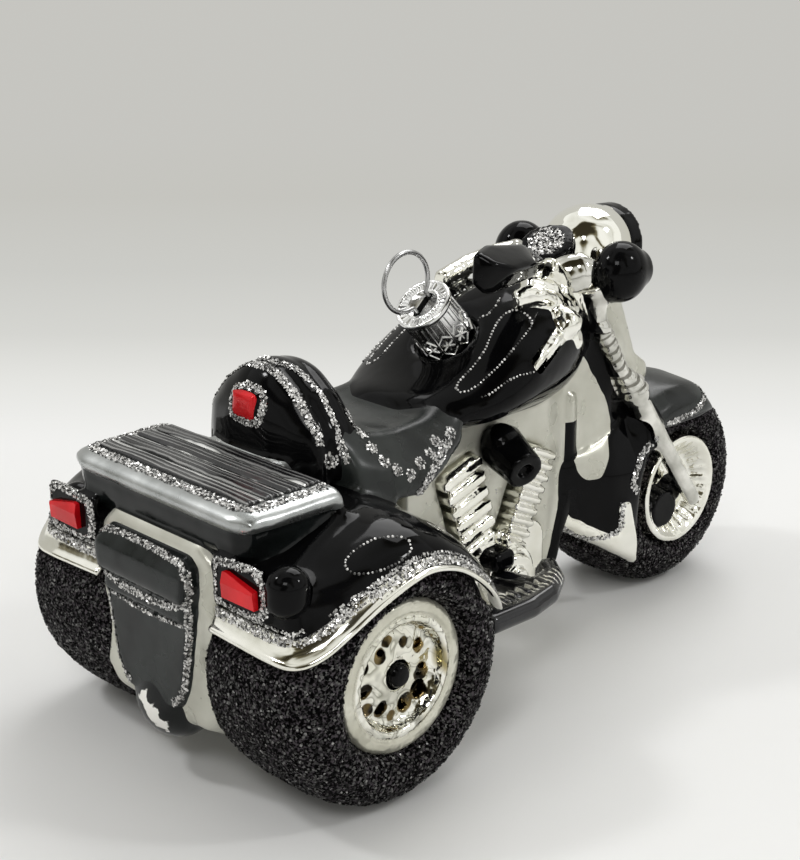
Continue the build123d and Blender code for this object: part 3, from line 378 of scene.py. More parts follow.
# name: darker tone, lighter tone, least and greatest roughness, and what else differs from plain paint
PAINTS = {
    "gloss_black": ((0.0012, 0.0012, 0.0014), (0.003, 0.003, 0.0034), (0.05, 0.11),
                    dict(wave=0.00008, wave_scale=170.0, specular=0.105)),
    "enamel_charcoal": ((0.003, 0.0036, 0.0036), (0.009, 0.011, 0.011), (0.10, 0.20),
                        dict(wave=0.00020, scale=150.0, wave_scale=130.0, specular=0.19)),
    "satin_charcoal": ((0.009, 0.0105, 0.010), (0.024, 0.028, 0.026), (0.22, 0.34),
                       dict(wave=0.00034, scale=150.0, wave_scale=110.0, specular=0.30)),
    "plate_charcoal": ((0.006, 0.0072, 0.0072), (0.020, 0.024, 0.023), (0.13, 0.25),
                       dict(wave=0.00022, scale=140.0, wave_scale=120.0, specular=0.26)),
    "mirror_silver": (SILVER_DULL, SILVER_BRIGHT, (0.04, 0.12),
                      dict(metallic=1.0, wave=0.00028, scale=120.0, wave_scale=420.0)),
    "lip_silver": (SILVER_DULL, SILVER_BRIGHT, (0.06, 0.14),
                   dict(metallic=1.0, wave=0.00012, scale=120.0, wave_scale=190.0)),
    "dome_silver": ((0.96, 0.95, 0.86), (1.0, 1.0, 0.95), (0.02, 0.10),
                    dict(metallic=1.0, wave=0.00060, scale=120.0, wave_scale=120.0)),
    "fork_silver": ((0.52, 0.515, 0.47), (0.84, 0.83, 0.78), (0.05, 0.12),
                    dict(metallic=1.0, wave=0.00006, scale=300.0, wave_scale=300.0)),
    "satin_silver": ((0.36, 0.375, 0.37), (0.54, 0.555, 0.55), (0.24, 0.38), dict(metallic=0.9)),
    "pearl": ((0.50, 0.495, 0.425), (0.61, 0.605, 0.535), (0.24, 0.34), dict(metallic=0.45)),
    "glitter_black": ((0.0004, 0.0003, 0.0004), (0.070, 0.062, 0.069), (0.5, 0.7),
                      dict(scale=2300.0, specular=0.02, span=(0.48, 0.62))),
    "lamp_red": ((0.50, 0.002, 0.005), (0.72, 0.006, 0.012), (0.12, 0.22),
                 dict(metallic=0.2, wave=0.00012, wave_scale=300.0, specular=0.35)),
    "clear_neck": ((0.75, 0.75, 0.70), (0.85, 0.85, 0.80), (0.06, 0.14), dict(metallic=1.0)),
    "cap_metal": ((0.70, 0.70, 0.69), (0.95, 0.95, 0.94), (0.14, 0.26),
                  dict(metallic=1.0, wave=0.00003, scale=500.0)),
    # the dark paint of the cap's slot is painted shade
    "cap_slot_shade": ((0.004, 0.004, 0.004), (0.010, 0.010, 0.010), (0.5, 0.6), dict(wave=0.00001, specular=0.1)),
    "wire": ((0.36, 0.36, 0.36), (0.50, 0.50, 0.50), (0.22, 0.32),
             dict(metallic=1.0, wave=0.000004, scale=300.0)),
}
# the same for the grounds that further paint goes over
GROUNDS = {
    "tip_charcoal": ((0.004, 0.0048, 0.0048), (0.011, 0.013, 0.013), (0.10, 0.20),
                     dict(wave=0.00012, scale=150.0, wave_scale=150.0, specular=0.24)),
    "lid_black": ((0.008, 0.008, 0.009), (0.024, 0.024, 0.026), (0.18, 0.35), dict(metallic=0.2)),
    "board_black": ((0.004, 0.004, 0.005), (0.010, 0.010, 0.012), (0.08, 0.2), {}),
    "dish_silver": ((0.78, 0.77, 0.67), (0.96, 0.95, 0.89), (0.04, 0.10),
                    dict(metallic=1.0, wave=0.0006, scale=120.0, wave_scale=330.0)),
}


def in_paint(name, paint):
    """A material in one of the paints or grounds above."""
    dark, light, rough, others = paint
    return painted(name, dark, light, rough, **others)


def flakes_material(name, tones, rough, metallic, specular=0.4):
    """Glitter whose flakes each have their own tone."""
    material, bsdf = shader(name, (0.5, 0.5, 0.5), rough, metallic)
    tree = material.node_tree
    own = tree.nodes.new("ShaderNodeNewGeometry").outputs["Random Per Island"]
    stops = [(place, (grey, grey * 0.99, grey * 0.97)) for place, grey in tones]
    tree.links.new(ramp(tree, own, stops), bsdf.inputs["Base Color"])
    tree.links.new(spread_value(tree, own, 0.0, 1.0, rough + 0.12, rough), bsdf.inputs["Roughness"])
    bsdf.inputs["Specular IOR Level"].default_value = specular
    return material


WHEEL_RING_R = 8.9           # where the dish ends and the pearl ring begins
WHEEL_DEEP_Y = 29.0          # what lies nearer the middle than this is seen through the openings
# angle, distance from the axle and radius of each opening in a rear wheel
PIERCES = (
    (70, 4.6, 0.75), (33, 5.4, 0.95), (105, 5.6, 0.8), (128, 4.6, 0.95), (157, 6.3, 0.8), (187, 5.8, 1.0),
    (216, 6.5, 0.9), (238, 5.3, 1.0), (262, 6.2, 0.8), (290, 5.4, 1.35), (318, 5.9, 1.5), (345, 5.2, 1.35),
)


def wheel_material():
    """Rear wheel's paint by distance from its axle: rippled mirror dish with painted reflections, dark
    openings, pearl ring.
    """
    material, bsdf = in_paint("rear_wheel_paint", GROUNDS["dish_silver"])
    tree = material.node_tree
    x, y, z = object_parts(tree)
    axle = at(0, 0, REAR_AXLE_Z)
    off_x, off_z = minus(tree, x, axle.x), minus(tree, z, axle.z)
    reach = length_of(tree, off_x, off_z)
    depth = math_node(tree, "ABSOLUTE", y)
    deep = times(tree, spread_value(tree, depth, WHEEL_DEEP_Y * MM, (WHEEL_DEEP_Y + 0.5) * MM, 1.0, 0.0),
                 spread_value(tree, reach, (WHEEL_RING_R - 0.6) * MM, (WHEEL_RING_R - 0.9) * MM))
    gap = 1.0
    for angle, r, size in PIERCES:
        hole_x, hole_z = r * math.cos(math.radians(angle)) * MM, r * math.sin(math.radians(angle)) * MM
        near = length_of(tree, minus(tree, off_x, hole_x), minus(tree, off_z, hole_z))
        gap = math_node(tree, "MINIMUM", minus(tree, near, size * MM), gap)
    stray = times(tree, noise(tree, 400.0), 0.0012)
    holes = spread_value(tree, plus(tree, gap, stray), 0.00066, 0.00084, 1.0, 0.0)
    # painted reflections: warm brown patches and dark lines that fade on one side stand in for what the
    # mirror dish reflects
    painted_warm_reflection = ramp(tree, noise(tree, 120.0, 1.0), ((0.60, BLACK), (0.66, WHITE)))
    paint_over(tree, bsdf, painted_warm_reflection, (0.36, 0.30, 0.13))
    painted_dark_reflection = ramp(tree, noise(tree, 240.0, 1.0, 1.2), (
        (0.40, BLACK), (0.505, WHITE), (0.525, BLACK), (0.60, BLACK), (0.66, (0.5, 0.5, 0.5)), (0.67, BLACK)))
    paint_over(tree, bsdf, times(tree, painted_dark_reflection, 0.72), (0.20, 0.195, 0.15))
    amber = ramp(tree, noise(tree, 260.0), ((0.46, (0.010, 0.008, 0.005)), (0.70, (0.26, 0.19, 0.08))))
    paint_over(tree, bsdf, math_node(tree, "MAXIMUM", deep, holes), amber)
    pearl = ramp(tree, noise(tree, 150.0), ((0.35, (0.52, 0.51, 0.42)), (0.7, (0.74, 0.73, 0.63))))
    ring = spread_value(tree, reach, WHEEL_RING_R * MM, (WHEEL_RING_R + 0.25) * MM)
    paint_over(tree, bsdf, ring, pearl)
    tree.links.new(spread_value(tree, ring, 0.0, 1.0, 0.06, 0.20), bsdf.inputs["Roughness"])
    tree.links.new(spread_value(tree, ring, 0.0, 1.0, 1.0, 0.6), bsdf.inputs["Metallic"])
    return material


LID_FINE_PITCH = 0.00104
LID_BROAD_PITCH = 0.0037


def lid_material():
    """Black lid whose ribs are rubbed silver along their tops and edges, with a painted highlight there too.
    """
    material, bsdf = in_paint("lid_ribs", GROUNDS["lid_black"])
    tree = material.node_tree
    x = object_parts(tree)[0]
    shift = plus(tree, x, times(tree, noise(tree, 90.0, 3.0), 0.0016))
    fine = math_node(tree, "SINE", times(tree, shift, 2 * math.pi / LID_FINE_PITCH))
    broad = math_node(tree, "SINE", times(tree, shift, 2 * math.pi / LID_BROAD_PITCH))
    # rubbed silver and painted highlight: the ribs' edges are painted bright, partly as wear and partly as
    # light catching them
    rubbed_and_lit_lines = times(tree, spread_value(tree, fine, 0.35, 1.0), 0.35)
    rubbed_and_lit_lines = plus(tree, rubbed_and_lit_lines, spread_value(tree, broad, 0.82, 0.98))
    rubbed_and_lit_lines = times(tree, rubbed_and_lit_lines, spread_value(tree, noise(tree, 60.0), 0.3, 0.6, 0.25, 1.0))
    rubbed_and_lit_lines = math_node(tree, "MINIMUM", rubbed_and_lit_lines, 1.0)
    paint_over(tree, bsdf, rubbed_and_lit_lines, (0.84, 0.84, 0.82))
    tree.links.new(spread_value(tree, rubbed_and_lit_lines, 0.0, 1.0, 0.1, 0.7), bsdf.inputs["Metallic"])
    bump(tree, bsdf, plus(tree, fine, times(tree, broad, 2.5)), 0.00006)
    return material


WORN_PLACES = ((-20.8, 1.0, 12.2), (-20.7, 0.0, 11.2), (-20.5, -1.0, 10.0), (-20.2, -2.2, 8.8))


def scuffed_material():
    """Tail tip's charcoal paint, worn through to the pearl at one place."""
    material, bsdf = in_paint("scuffed_charcoal", GROUNDS["tip_charcoal"])
    tree = material.node_tree
    coords = tree.nodes.new("ShaderNodeTexCoord")
    nearest = 1.0
    for place in WORN_PLACES:
        gap = tree.nodes.new("ShaderNodeVectorMath")
        gap.operation = "DISTANCE"
        gap.inputs[1].default_value = at(*place)
        tree.links.new(coords.outputs["Object"], gap.inputs[0])
        nearest = math_node(tree, "MINIMUM", gap.outputs["Value"], nearest)
    reach = plus(tree, nearest, times(tree, noise(tree, 900.0, 4.0), 0.0028))
    paint_over(tree, bsdf, spread_value(tree, reach, 0.0026, 0.0028, 1.0, 0.0), (0.88, 0.87, 0.83))
    return material


# millimetres along the fork: what a metre of x adds, a metre of z takes off, and the start
FORK_ALONG = (473.0, 873.0, 31.12)
FORK_ALONG_DRAWN = (797.6, 737.0, 15.97)         # the same where draw_in_fork has narrowed the leg
GAITER_PITCH = 1.7175
GAITER_FOOT = (0.0396, 0.0402)
GAITER_TOP = (0.0508, 0.0514)


def fork_material():
    """Polished fork leg whose gaiter has painted shade in the grooves across it."""
    material, bsdf = in_paint("fork_polish", PAINTS["fork_silver"])
    tree = material.node_tree
    x, _, z = object_parts(tree)
    plain, narrow = [plus(tree, minus(tree, times(tree, x, per_x), times(tree, z, per_z)), start)
                     for per_x, per_z, start in (FORK_ALONG, FORK_ALONG_DRAWN)]
    extra = times(tree, minus(tree, narrow, plain), spread_value(tree, z, 0.0415, 0.045))
    along = plus(tree, plus(tree, plain, extra), times(tree, noise(tree, 500.0), 0.5))
    turn = math_node(tree, "FRACT", plus(tree, math_node(tree, "DIVIDE", along, GAITER_PITCH), 10.0))
    groove_shade = times(tree, spread_value(tree, turn, 0.58, 0.70), spread_value(tree, turn, 0.94, 1.0, 1.0, 0.0))
    gaiter = times(tree, spread_value(tree, z, *GAITER_FOOT), spread_value(tree, z, *GAITER_TOP, 1.0, 0.0))
    # painted shade: a darker tone laid in the gaiter's grooves, where shade falls between the ribs
    paint_over(tree, bsdf, times(tree, times(tree, groove_shade, gaiter), 0.82), (0.13, 0.125, 0.10))
    return material


BOARD_FIRST_RIB_X = 28.6
BOARD_PITCH = 0.0022


def board_material():
    """Black footboard whose ribs are rubbed silver on top."""
    material, bsdf = in_paint("board_black", GROUNDS["board_black"])
    tree = material.node_tree
    x, y, z = object_parts(tree)
    stray = times(tree, minus(tree, noise(tree, 900.0), 0.5), 0.0006)
    place = plus(tree, minus(tree, x, at(BOARD_FIRST_RIB_X, 0, 0).x), stray)
    turn = math_node(tree, "FRACT", plus(tree, math_node(tree, "DIVIDE", place, BOARD_PITCH), 20.5))
    off = math_node(tree, "ABSOLUTE", minus(tree, turn, 0.5))
    edge = math_node(tree, "ABSOLUTE", minus(tree, off, 0.27))
    side = math_node(tree, "ABSOLUTE", y)
    high = spread_value(tree, edge, 0.055, 0.085, 1.0, 0.0)
    for limit in (spread_value(tree, z, 0.0168, 0.0171), spread_value(tree, side, 0.0188, 0.0191),
                  spread_value(tree, side, 0.0218, 0.0222, 1.0, 0.0)):
        high = times(tree, high, limit)
    paint_over(tree, bsdf, high, (0.80, 0.79, 0.75))
    tree.links.new(spread_value(tree, high, 0.0, 1.0, 0.0, 0.9), bsdf.inputs["Metallic"])
    return material


# share of the flakes up to here, and their tone there
SILVER_TONES = ((0.0, 0.03), (0.26, 0.12), (0.33, 0.42), (0.80, 0.80), (1.0, 1.0))
TYRE_TONES = ((0.0, 0.0006), (0.38, 0.002), (0.55, 0.045), (0.80, 0.095), (0.96, 0.14), (1.0, 0.30))
MATERIALS = {
    **{name: in_paint(name, paint)[0] for name, paint in PAINTS.items()},
    "wheel": wheel_material(),
    "lid": lid_material(),
    "scuffed": scuffed_material(),
    "board": board_material(),
    "fork": fork_material(),
    "silver_glitter": flakes_material("silver_glitter", SILVER_TONES, 0.22, 0.5),
    "tyre_glitter": flakes_material("tyre_glitter", TYRE_TONES, 0.3, 0.3, 0.04),
}
NODE_MATERIAL = {
    **dict.fromkeys(pair("rear_wheel"), "wheel"), **dict.fromkeys(pair("footboard"), "board"),
    **dict.fromkeys(pair("fork_leg"), "fork"), "trunk_lid": "lid", "tail_tip": "scuffed",
    "plate_panel": "plate_charcoal", "backrest": "gloss_black", "trunk_box": "enamel_charcoal",
    "headlamp_nacelle": "dome_silver", "bar_right": "mirror_silver",
}

# ---- the moulded glass skin ----
TYRES = (*pair("rear_tyre"), "front_tyre")
# voxel in mm, smoothing turns, nodes
SKIN_GROUPS = (
    (0.80, 4, TYRES),
    (0.28, 2, (*pair("rear_wheel"), *pair("rear_hub"), *pair("front_wheel_face"), *pair("front_hub"))),
    (0.26, 2, ("trunk_lid",)),
    (0.34, 6, ("crankcase", "cylinder_front", "cylinder_rear", "air_cleaner", "starter_covers")),
)
MAIN_VOXEL = 0.46
MAIN_TURNS = 8
# nodes that are shown by the CAD's own mesh
CAD_SHOWN = ("glass_neck", *pair("tail_lens"))
# nodes left out of the skin: these, and what is drawn anew below
BARE_NODES = ("cap", "hanger_loop", *pair("fender_lip"), "grip_right", *CAD_SHOWN)
# smoothing turns of the nodes that are blown rounder, or drawn finer, than the rest
TURNS_OF = {
    **dict.fromkeys(pair("rear_fender"), 70), **dict.fromkeys(pair("passing_lamp"), 24),
    **dict.fromkeys(pair("footboard"), 3), **dict.fromkeys(pair("fork_leg"), 1),
    "seat": 60, "tank": 50, "backrest": 24, "front_fender": 50, "front_web": 50, "frame_core": 24,
    "headlamp_nacelle": 24, "cable_bundle": 12, "tail_tip": 24, "plate_panel": 14, "trunk_box": 16,
    "trunk_rim": 30, "skirt_trims": 5, "tail_lamp_right": 8, "tail_lamp_left": 14, "down_tubes": 24,
    "rear_body": 20,
}
ROUND_TURNS = 20             # nodes with this many turns or more give back less, so they end rounder
SMOOTH_STEP = 0.52
SMOOTH_BACK = -0.53
ROUND_BACK = -0.32
NO_TURNS_KNOWN = 10000
BORDER_TURNS = 5             # smoothing turns of the borders between paints

EVERYWHERE = 99.0
FORK_BACK = ((55.0, 58.0), (64.8, 58.0), (66.3, 52.4), (70.6, 46.0), (72.5, 42.8), (55.0, 42.8))
# the fork legs' inner flanks, painted gloss black as shade
FORK_INSIDE_SHADE = ((60.0, 57.0), (84.0, 57.0), (84.0, 42.8), (60.0, 42.8))
WEB_BLACK = ((64.6, 52.8), (69.6, 51.0), (75.5, 41.0), (80.6, 33.4), (80.0, 28.0), (70.2, 28.0),
             (72.2, 31.0), (73.2, 34.3), (71.8, 38.4), (69.0, 43.2), (66.2, 48.0))
FENDER_PEARL = ((64.3, 36.0), (64.3, 27.4), (66.0, 25.4), (68.6, 25.6), (70.8, 29.0), (72.2, 32.0),
                (72.6, 36.0))
FENDER_TOP = ((83.0, 31.4), (112.0, 31.4), (112.0, 42.0), (83.0, 42.0))
TUBES_TOP = ((55.0, 36.0), (80.0, 36.0), (80.0, 60.0), (55.0, 60.0))
# node, the paint inside the zone, side outline in x and z, and how far out from the middle it reaches
PAINT_ZONES = (
    ("fork_leg_right", "gloss_black", FORK_BACK, EVERYWHERE),
    ("fork_leg_left", "gloss_black", FORK_BACK, EVERYWHERE),
    # painted shade: gloss black laid on the legs' inner flanks between leg and web, where there is only shade
    ("fork_leg_right", "gloss_black", FORK_INSIDE_SHADE, 7.9),
    ("fork_leg_left", "gloss_black", FORK_INSIDE_SHADE, 7.9),
    ("front_web", "gloss_black", WEB_BLACK, EVERYWHERE),
    ("front_fender", "pearl", FENDER_PEARL, EVERYWHERE),
    ("front_fender", "satin_charcoal", FENDER_TOP, EVERYWHERE),
    ("down_tubes", "pearl", TUBES_TOP, EVERYWHERE),
)


def joined_copy(names):
    """One mesh holding copies of several CAD nodes."""
    build = bmesh.new()
    for name in names:
        build.from_mesh(NODES[name].data)
    mesh = bpy.data.meshes.new("skin_source")
    build.to_mesh(mesh)
    build.free()
    return new_object("skin_source", mesh)


def search_tree(objects):
    """A search tree over several objects' meshes."""
    points, faces = [], []
    for obj in objects:
        offset = len(points)
        points.extend(v.co.copy() for v in obj.data.vertices)
        faces.extend([i + offset for i in p.vertices] for p in obj.data.polygons)
    return BVHTree.FromPolygons(points, faces)


def inside_outline(outline, x, z):
    """Whether a point lies inside a closed outline."""
    inside = False
    for (x0, z0), (x1, z1) in zip(outline, outline[1:] + outline[:1]):
        if (z0 > z) != (z1 > z) and x < (x1 - x0) * (z - z0) / (z1 - z0) + x0:
            inside = not inside
    return inside


def relax_borders(mesh, kind_of):
    """Evens out the stepped border between differently painted faces."""
    touching = {}
    for polygon in mesh.polygons:
        for edge in polygon.edge_keys:
            touching.setdefault(edge, set()).add(kind_of[polygon.index])
    border = {}
    for (a, b), kinds in touching.items():
        if len(kinds) > 1:
            border.setdefault(a, []).append(b)
            border.setdefault(b, []).append(a)
    places = {v: mesh.vertices[v].co.copy() for v in border}
    for _ in range(BORDER_TURNS):
        moved = {}
        for v, near in border.items():
            if len(near) == 2:
                moved[v] = places[v] * 0.4 + (places[near[0]] + places[near[1]]) * 0.3
        places.update(moved)
    for v, place in places.items():
        mesh.vertices[v].co = place


def in_box(places):
    """Places kept inside the CAD's own box."""
    return np.clip(places, np.array(CAD_BOX[0]), np.array(CAD_BOX[1]))


def numbers_of(items, name, each=1):
    """One property of all of a mesh's vertices, edges, loops or faces."""
    kind = float if name == "co" else np.int64
    values = np.empty(len(items) * each, dtype=kind)
    items.foreach_get(name, values)
    return values.reshape(-1, each) if each > 1 else values


def smooth_skin(mesh, node_of, turns):
    """Evens the skin without shrinking it, each node's part by its own number of turns."""
    count = len(mesh.vertices)
    places = numbers_of(mesh.vertices, "co", 3)
    edges = numbers_of(mesh.edges, "vertices", 2)
    ends = np.concatenate((edges[:, 0], edges[:, 1]))
    others = np.concatenate((edges[:, 1], edges[:, 0]))
    degree = np.maximum(np.bincount(ends, minlength=count), 1)[:, None]
    wanted = np.array([TURNS_OF.get(node, turns) for node in node_of])
    corners = numbers_of(mesh.loops, "vertex_index")
    limit = np.full(count, NO_TURNS_KNOWN)
    np.minimum.at(limit, corners, np.repeat(wanted, numbers_of(mesh.polygons, "loop_total")))
    back = np.where((limit >= ROUND_TURNS) & (limit < NO_TURNS_KNOWN), ROUND_BACK, SMOOTH_BACK)
    for turn in range(int(wanted.max())):
        for factor in (SMOOTH_STEP, back):
            sums = [np.bincount(ends, places[others, axis], count) for axis in range(3)]
            mean = np.stack(sums, axis=1) / degree
            places = places + (mean - places) * (factor * (limit > turn))[:, None]
    mesh.vertices.foreach_set("co", in_box(places).reshape(-1))


def paint_of_faces(skin, names):
    """Each face's nearest CAD node and its paint there."""
    owner = [name for name in names for _ in NODES[name].data.polygons]
    nearest = search_tree(NODES[name] for name in names)
    zones = [(node, paint, [(p.x, p.z) for p in (at(x, 0, z) for x, z in outline)], reach * MM)
             for node, paint, outline, reach in PAINT_ZONES if node in names]
    kinds = []
    for polygon in skin.polygons:
        node = owner[nearest.find_nearest(polygon.center)[2]]
        paint = NODE_MATERIAL.get(node, SLOT_OF[node])
        x, y, z = polygon.center
        for zone_node, zone_paint, outline, reach in zones:
            if zone_node == node and abs(y) < reach and inside_outline(outline, x, z):
                paint = zone_paint
        kinds.append((node, paint))
    return kinds


def cut_piece(skin, name, members, kind_of):
    """The piece that shows one node: its own faces of the skin, each with its paint."""
    used = {}
    points, faces, paints, slots = [], [], [], []
    for index in members:
        face = []
        for v in skin.polygons[index].vertices:
            if v not in used:
                used[v] = len(points)
                points.append(skin.vertices[v].co.copy())
            face.append(used[v])
        faces.append(face)
        paint = kind_of[index][1]
        if paint not in paints:
            paints.append(paint)
        slots.append(paints.index(paint))
    mesh = bpy.data.meshes.new(f"glass_{name}")
    mesh.from_pydata(points, [], faces)
    for paint in paints:
        mesh.materials.append(MATERIALS[paint])
    mesh.polygons.foreach_set("use_smooth", [True] * len(faces))
    mesh.polygons.foreach_set("material_index", slots)
    piece = new_object(f"glass_{name}", mesh)
    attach(piece, "ornament")
    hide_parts(name)
    return piece


def glass_skin(names, voxel, turns, fillers=()):
    """Skins the solids as one blown form and cuts it by node; fillers back thin shells and are left out."""
    everything = (*names, *fillers)
    source = joined_copy(everything)
    remesh = source.modifiers.new("remesh", "REMESH")
    remesh.mode = "VOXEL"
    remesh.voxel_size = voxel * MM
    skin = bpy.data.meshes.new_from_object(source.evaluated_get(bpy.context.evaluated_depsgraph_get()))
    bpy.data.objects.remove(source)
    kind_of = paint_of_faces(skin, everything)
    smooth_skin(skin, [node for node, _ in kind_of], turns)
    relax_borders(skin, kind_of)
    groups = {}
    for index, (node, _) in enumerate(kind_of):
        if node not in fillers:
            groups.setdefault(node, []).append(index)
    made = {name: cut_piece(skin, name, members, kind_of) for name, members in groups.items()}
    bpy.data.meshes.remove(skin)
    return made


def build_skins():
    """Every group's skin; what no group names is in the main one."""
    made = {}
    taken = set(BARE_NODES)
    for voxel, turns, names in SKIN_GROUPS:
        taken.update(names)
        made.update(glass_skin(names, voxel, turns))
    rest = [name for name in NODES if name not in taken]
    made.update(glass_skin(rest, MAIN_VOXEL, MAIN_TURNS, TYRES))
    return made


def finish_piece(name, points, faces, material, smooth=False, body="ornament"):
    """Makes a mesh piece that rides on a body."""
    mesh = bpy.data.meshes.new(name)
    mesh.from_pydata(in_box(np.array([tuple(p) for p in points])).tolist(), [], faces)
    mesh.materials.append(MATERIALS[material])
    if smooth:
        mesh.polygons.foreach_set("use_smooth", [True] * len(faces))
    piece = new_object(name, mesh)
    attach(piece, body)
    return piece


def smooth_object(build, name, material):
    """Makes a built mesh into a smooth object with one material."""
    mesh = bpy.data.meshes.new(name)
    build.to_mesh(mesh)
    build.free()
    mesh.polygons.foreach_set("use_smooth", [True] * len(mesh.polygons))
    mesh.materials.append(MATERIALS[material])
    return new_object(name, mesh)


# ---- own-drawn pieces, and forms drawn into the skin ----
# top of the bright lip, then its rolled edge, from the rear bar round the corner and over the right tyre
LIP_ROWS = (
    ((-18.0, -13.2, 30.5), (-19.2, -13.2, 27.2)), ((-18.0, -19.0, 30.5), (-19.3, -19.0, 27.0)),
    ((-18.0, -24.5, 30.5), (-19.3, -25.2, 26.8)), ((-17.6, -27.4, 30.5), (-18.7, -28.9, 26.7)),
    ((-16.5, -29.0, 30.8), (-17.1, -31.1, 27.2)), ((-14.6, -30.4, 31.8), (-14.6, -32.6, 28.6)),
    ((-11.2, -31.9, 33.8), (-11.2, -33.8, 31.1)), ((-6.0, -32.7, 35.7), (-6.0, -34.3, 33.7)),
    ((-0.4, -32.9, 37.1), (-0.4, -34.4, 35.4)), ((3.6, -33.0, 37.3), (3.6, -34.4, 35.7)),
    ((8.4, -32.8, 36.0), (8.4, -34.3, 34.2)), ((13.2, -32.3, 33.0), (13.2, -33.8, 30.9)),
    ((18.0, -30.7, 29.0), (18.0, -32.2, 26.6)), ((22.0, -28.3, 25.0), (22.0, -29.5, 22.6)),
)
LIP_PARTS = 8                # rows drawn for each of these
# the right grip's corners: a wedge that broadens towards its end
GRIP_CORNERS = (
    (35.9, -9.8, 70.7), (35.4, -10.0, 65.4), (38.0, -10.2, 63.2), (43.2, -10.2, 63.7), (51.0, -9.0, 64.0),
    (56.6, -6.4, 64.0), (56.4, -6.2, 65.4), (53.6, -6.2, 67.0), (50.2, -6.4, 69.2), (40.4, -7.6, 70.8),
    (41.0, -14.0, 67.8), (47.4, -12.2, 67.4), (37.6, -13.0, 68.8), (38.4, -7.4, 66.0), (52.0, -5.6, 64.6),
)
GRIP_CUTS = 5


def dense_rows(rows, parts):
    """Rows of points with smooth rows put between them."""
    count = len(rows)
    made = []
    for i in range(count - 1):
        near = zip(rows[max(i - 1, 0)], rows[i], rows[i + 1], rows[min(i + 2, count - 1)])
        curves = [(b * 2, c - a, a * 2 - b * 5 + c * 4 - d, b * 3 - a - c * 3 + d) for a, b, c, d in near]
        for k in range(parts):
            t = k / parts
            made.append([(p + q * t + r * t * t + s * t ** 3) * 0.5 for p, q, r, s in curves])
    made.append(list(rows[-1]))
    return made


def lip_section(top, edge, out):
    """The lip's section: its face, its rolled edge and its back."""
    up = Vector((0, 0, 1))
    fall = edge - top
    return (top - out * 1.7, top, top + fall * 0.35 - out * 0.2, top + fall * 0.68 - out * 0.15,
            edge + up * 0.85 - out * 0.2, edge + up * 0.6 + out * 0.12, edge + up * 0.2 + out * 0.22,
            edge - up * 0.12 + out * 0.02, edge - up * 0.15 - out * 0.5, edge + up * 0.2 - out * 1.1,
            (top + edge) / 2 - out * 1.9)


def lip_pieces(skin):
    """The fenders' flared bright lips, each drawn in one sweep."""
    rows = dense_rows([(Vector(top), Vector(edge)) for top, edge in LIP_ROWS], LIP_PARTS)
    for word, side in (("right", 1), ("left", -1)):
        points, faces = [], []
        for i, (top, edge) in enumerate(rows):
            ahead = rows[min(i + 1, len(rows) - 1)][1] - rows[max(i - 1, 0)][1]
            section = lip_section(top, edge, Vector((-ahead.y, ahead.x, 0)).normalized() * -1)
            points.extend(at(p.x, p.y * side, p.z) for p in section)
            width = len(section)
            for k in range(width if i else 0):
                m = (k + 1) % width
                base = (i - 1) * width
                faces.append((base + k, base + m, base + width + m, base + width + k)[::side])
        faces.append(tuple(range(width))[::-side])
        faces.append(tuple(range(len(points) - width, len(points)))[::side])
        name = f"fender_lip_{word}"
        piece = finish_piece(f"glass_{name}", points, faces, "lip_silver", smooth=True)
        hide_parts(name)
        skin[name] = piece


def grip_piece(skin):
    """The right grip: a wedge with softened edges."""
    build = bmesh.new()
    for corner in GRIP_CORNERS:
        build.verts.new(at(*corner))
    hull = bmesh.ops.convex_hull(build, input=build.verts)
    inner = [g for g in hull["geom_interior"] if isinstance(g, bmesh.types.BMVert)]
    bmesh.ops.delete(build, geom=inner, context="VERTS")
    bmesh.ops.subdivide_edges(build, edges=build.edges, cuts=GRIP_CUTS, use_grid_fill=True)
    bmesh.ops.triangulate(build, faces=build.faces)
    axes = dict(use_axis_x=True, use_axis_y=True, use_axis_z=True)
    for _ in range(2):
        bmesh.ops.smooth_vert(build, verts=build.verts, factor=0.5, **axes)
    piece = smooth_object(build, "glass_grip_right", "gloss_black")
    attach(piece, "ornament")
    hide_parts("grip_right")
    skin["grip_right"] = piece


def eased(value):
    """Nought to one along a soft step."""
    value = min(max(value, 0.0), 1.0)
    return value * value * (3 - 2 * value)


CLAMP_MIDDLE = (62.6, -6.1, 61.7)
CLAMP_LENGTH = 4.9           # these three are half of the clamp's size
CLAMP_DEPTH = 2.4
CLAMP_HEIGHT = 3.3


def clamp_pieces():
    """The polished handlebar clamps beside the steering head, each with a raised band."""
    for word, side in (("right", 1), ("left", -1)):
        build = bmesh.new()
        bmesh.ops.create_uvsphere(build, u_segments=40, v_segments=24, radius=1.0)
        along = Vector((0.69, -0.66 * side, 0.28)).normalized()
        depth = Vector((-0.66, -0.68 * side, 0.33))
        depth = (depth - along * depth.dot(along)).normalized()
        up = along.cross(depth)
        middle = at(CLAMP_MIDDLE[0], CLAMP_MIDDLE[1] * side, CLAMP_MIDDLE[2])
        for vert in build.verts:
            a, b, c = vert.co.z, vert.co.x, vert.co.y
            band = 1.0 + 0.10 * eased((a - 0.42) / 0.10) * (1 - eased((a - 0.66) / 0.12))
            reach = along * a * CLAMP_LENGTH + depth * b * CLAMP_DEPTH * band + up * c * CLAMP_HEIGHT * band
            vert.co = middle + reach * MM
        bmesh.ops.recalc_face_normals(build, faces=build.faces)
        piece = smooth_object(build, f"bar_clamp_{word}", "fork_silver")
        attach(piece, "ornament")


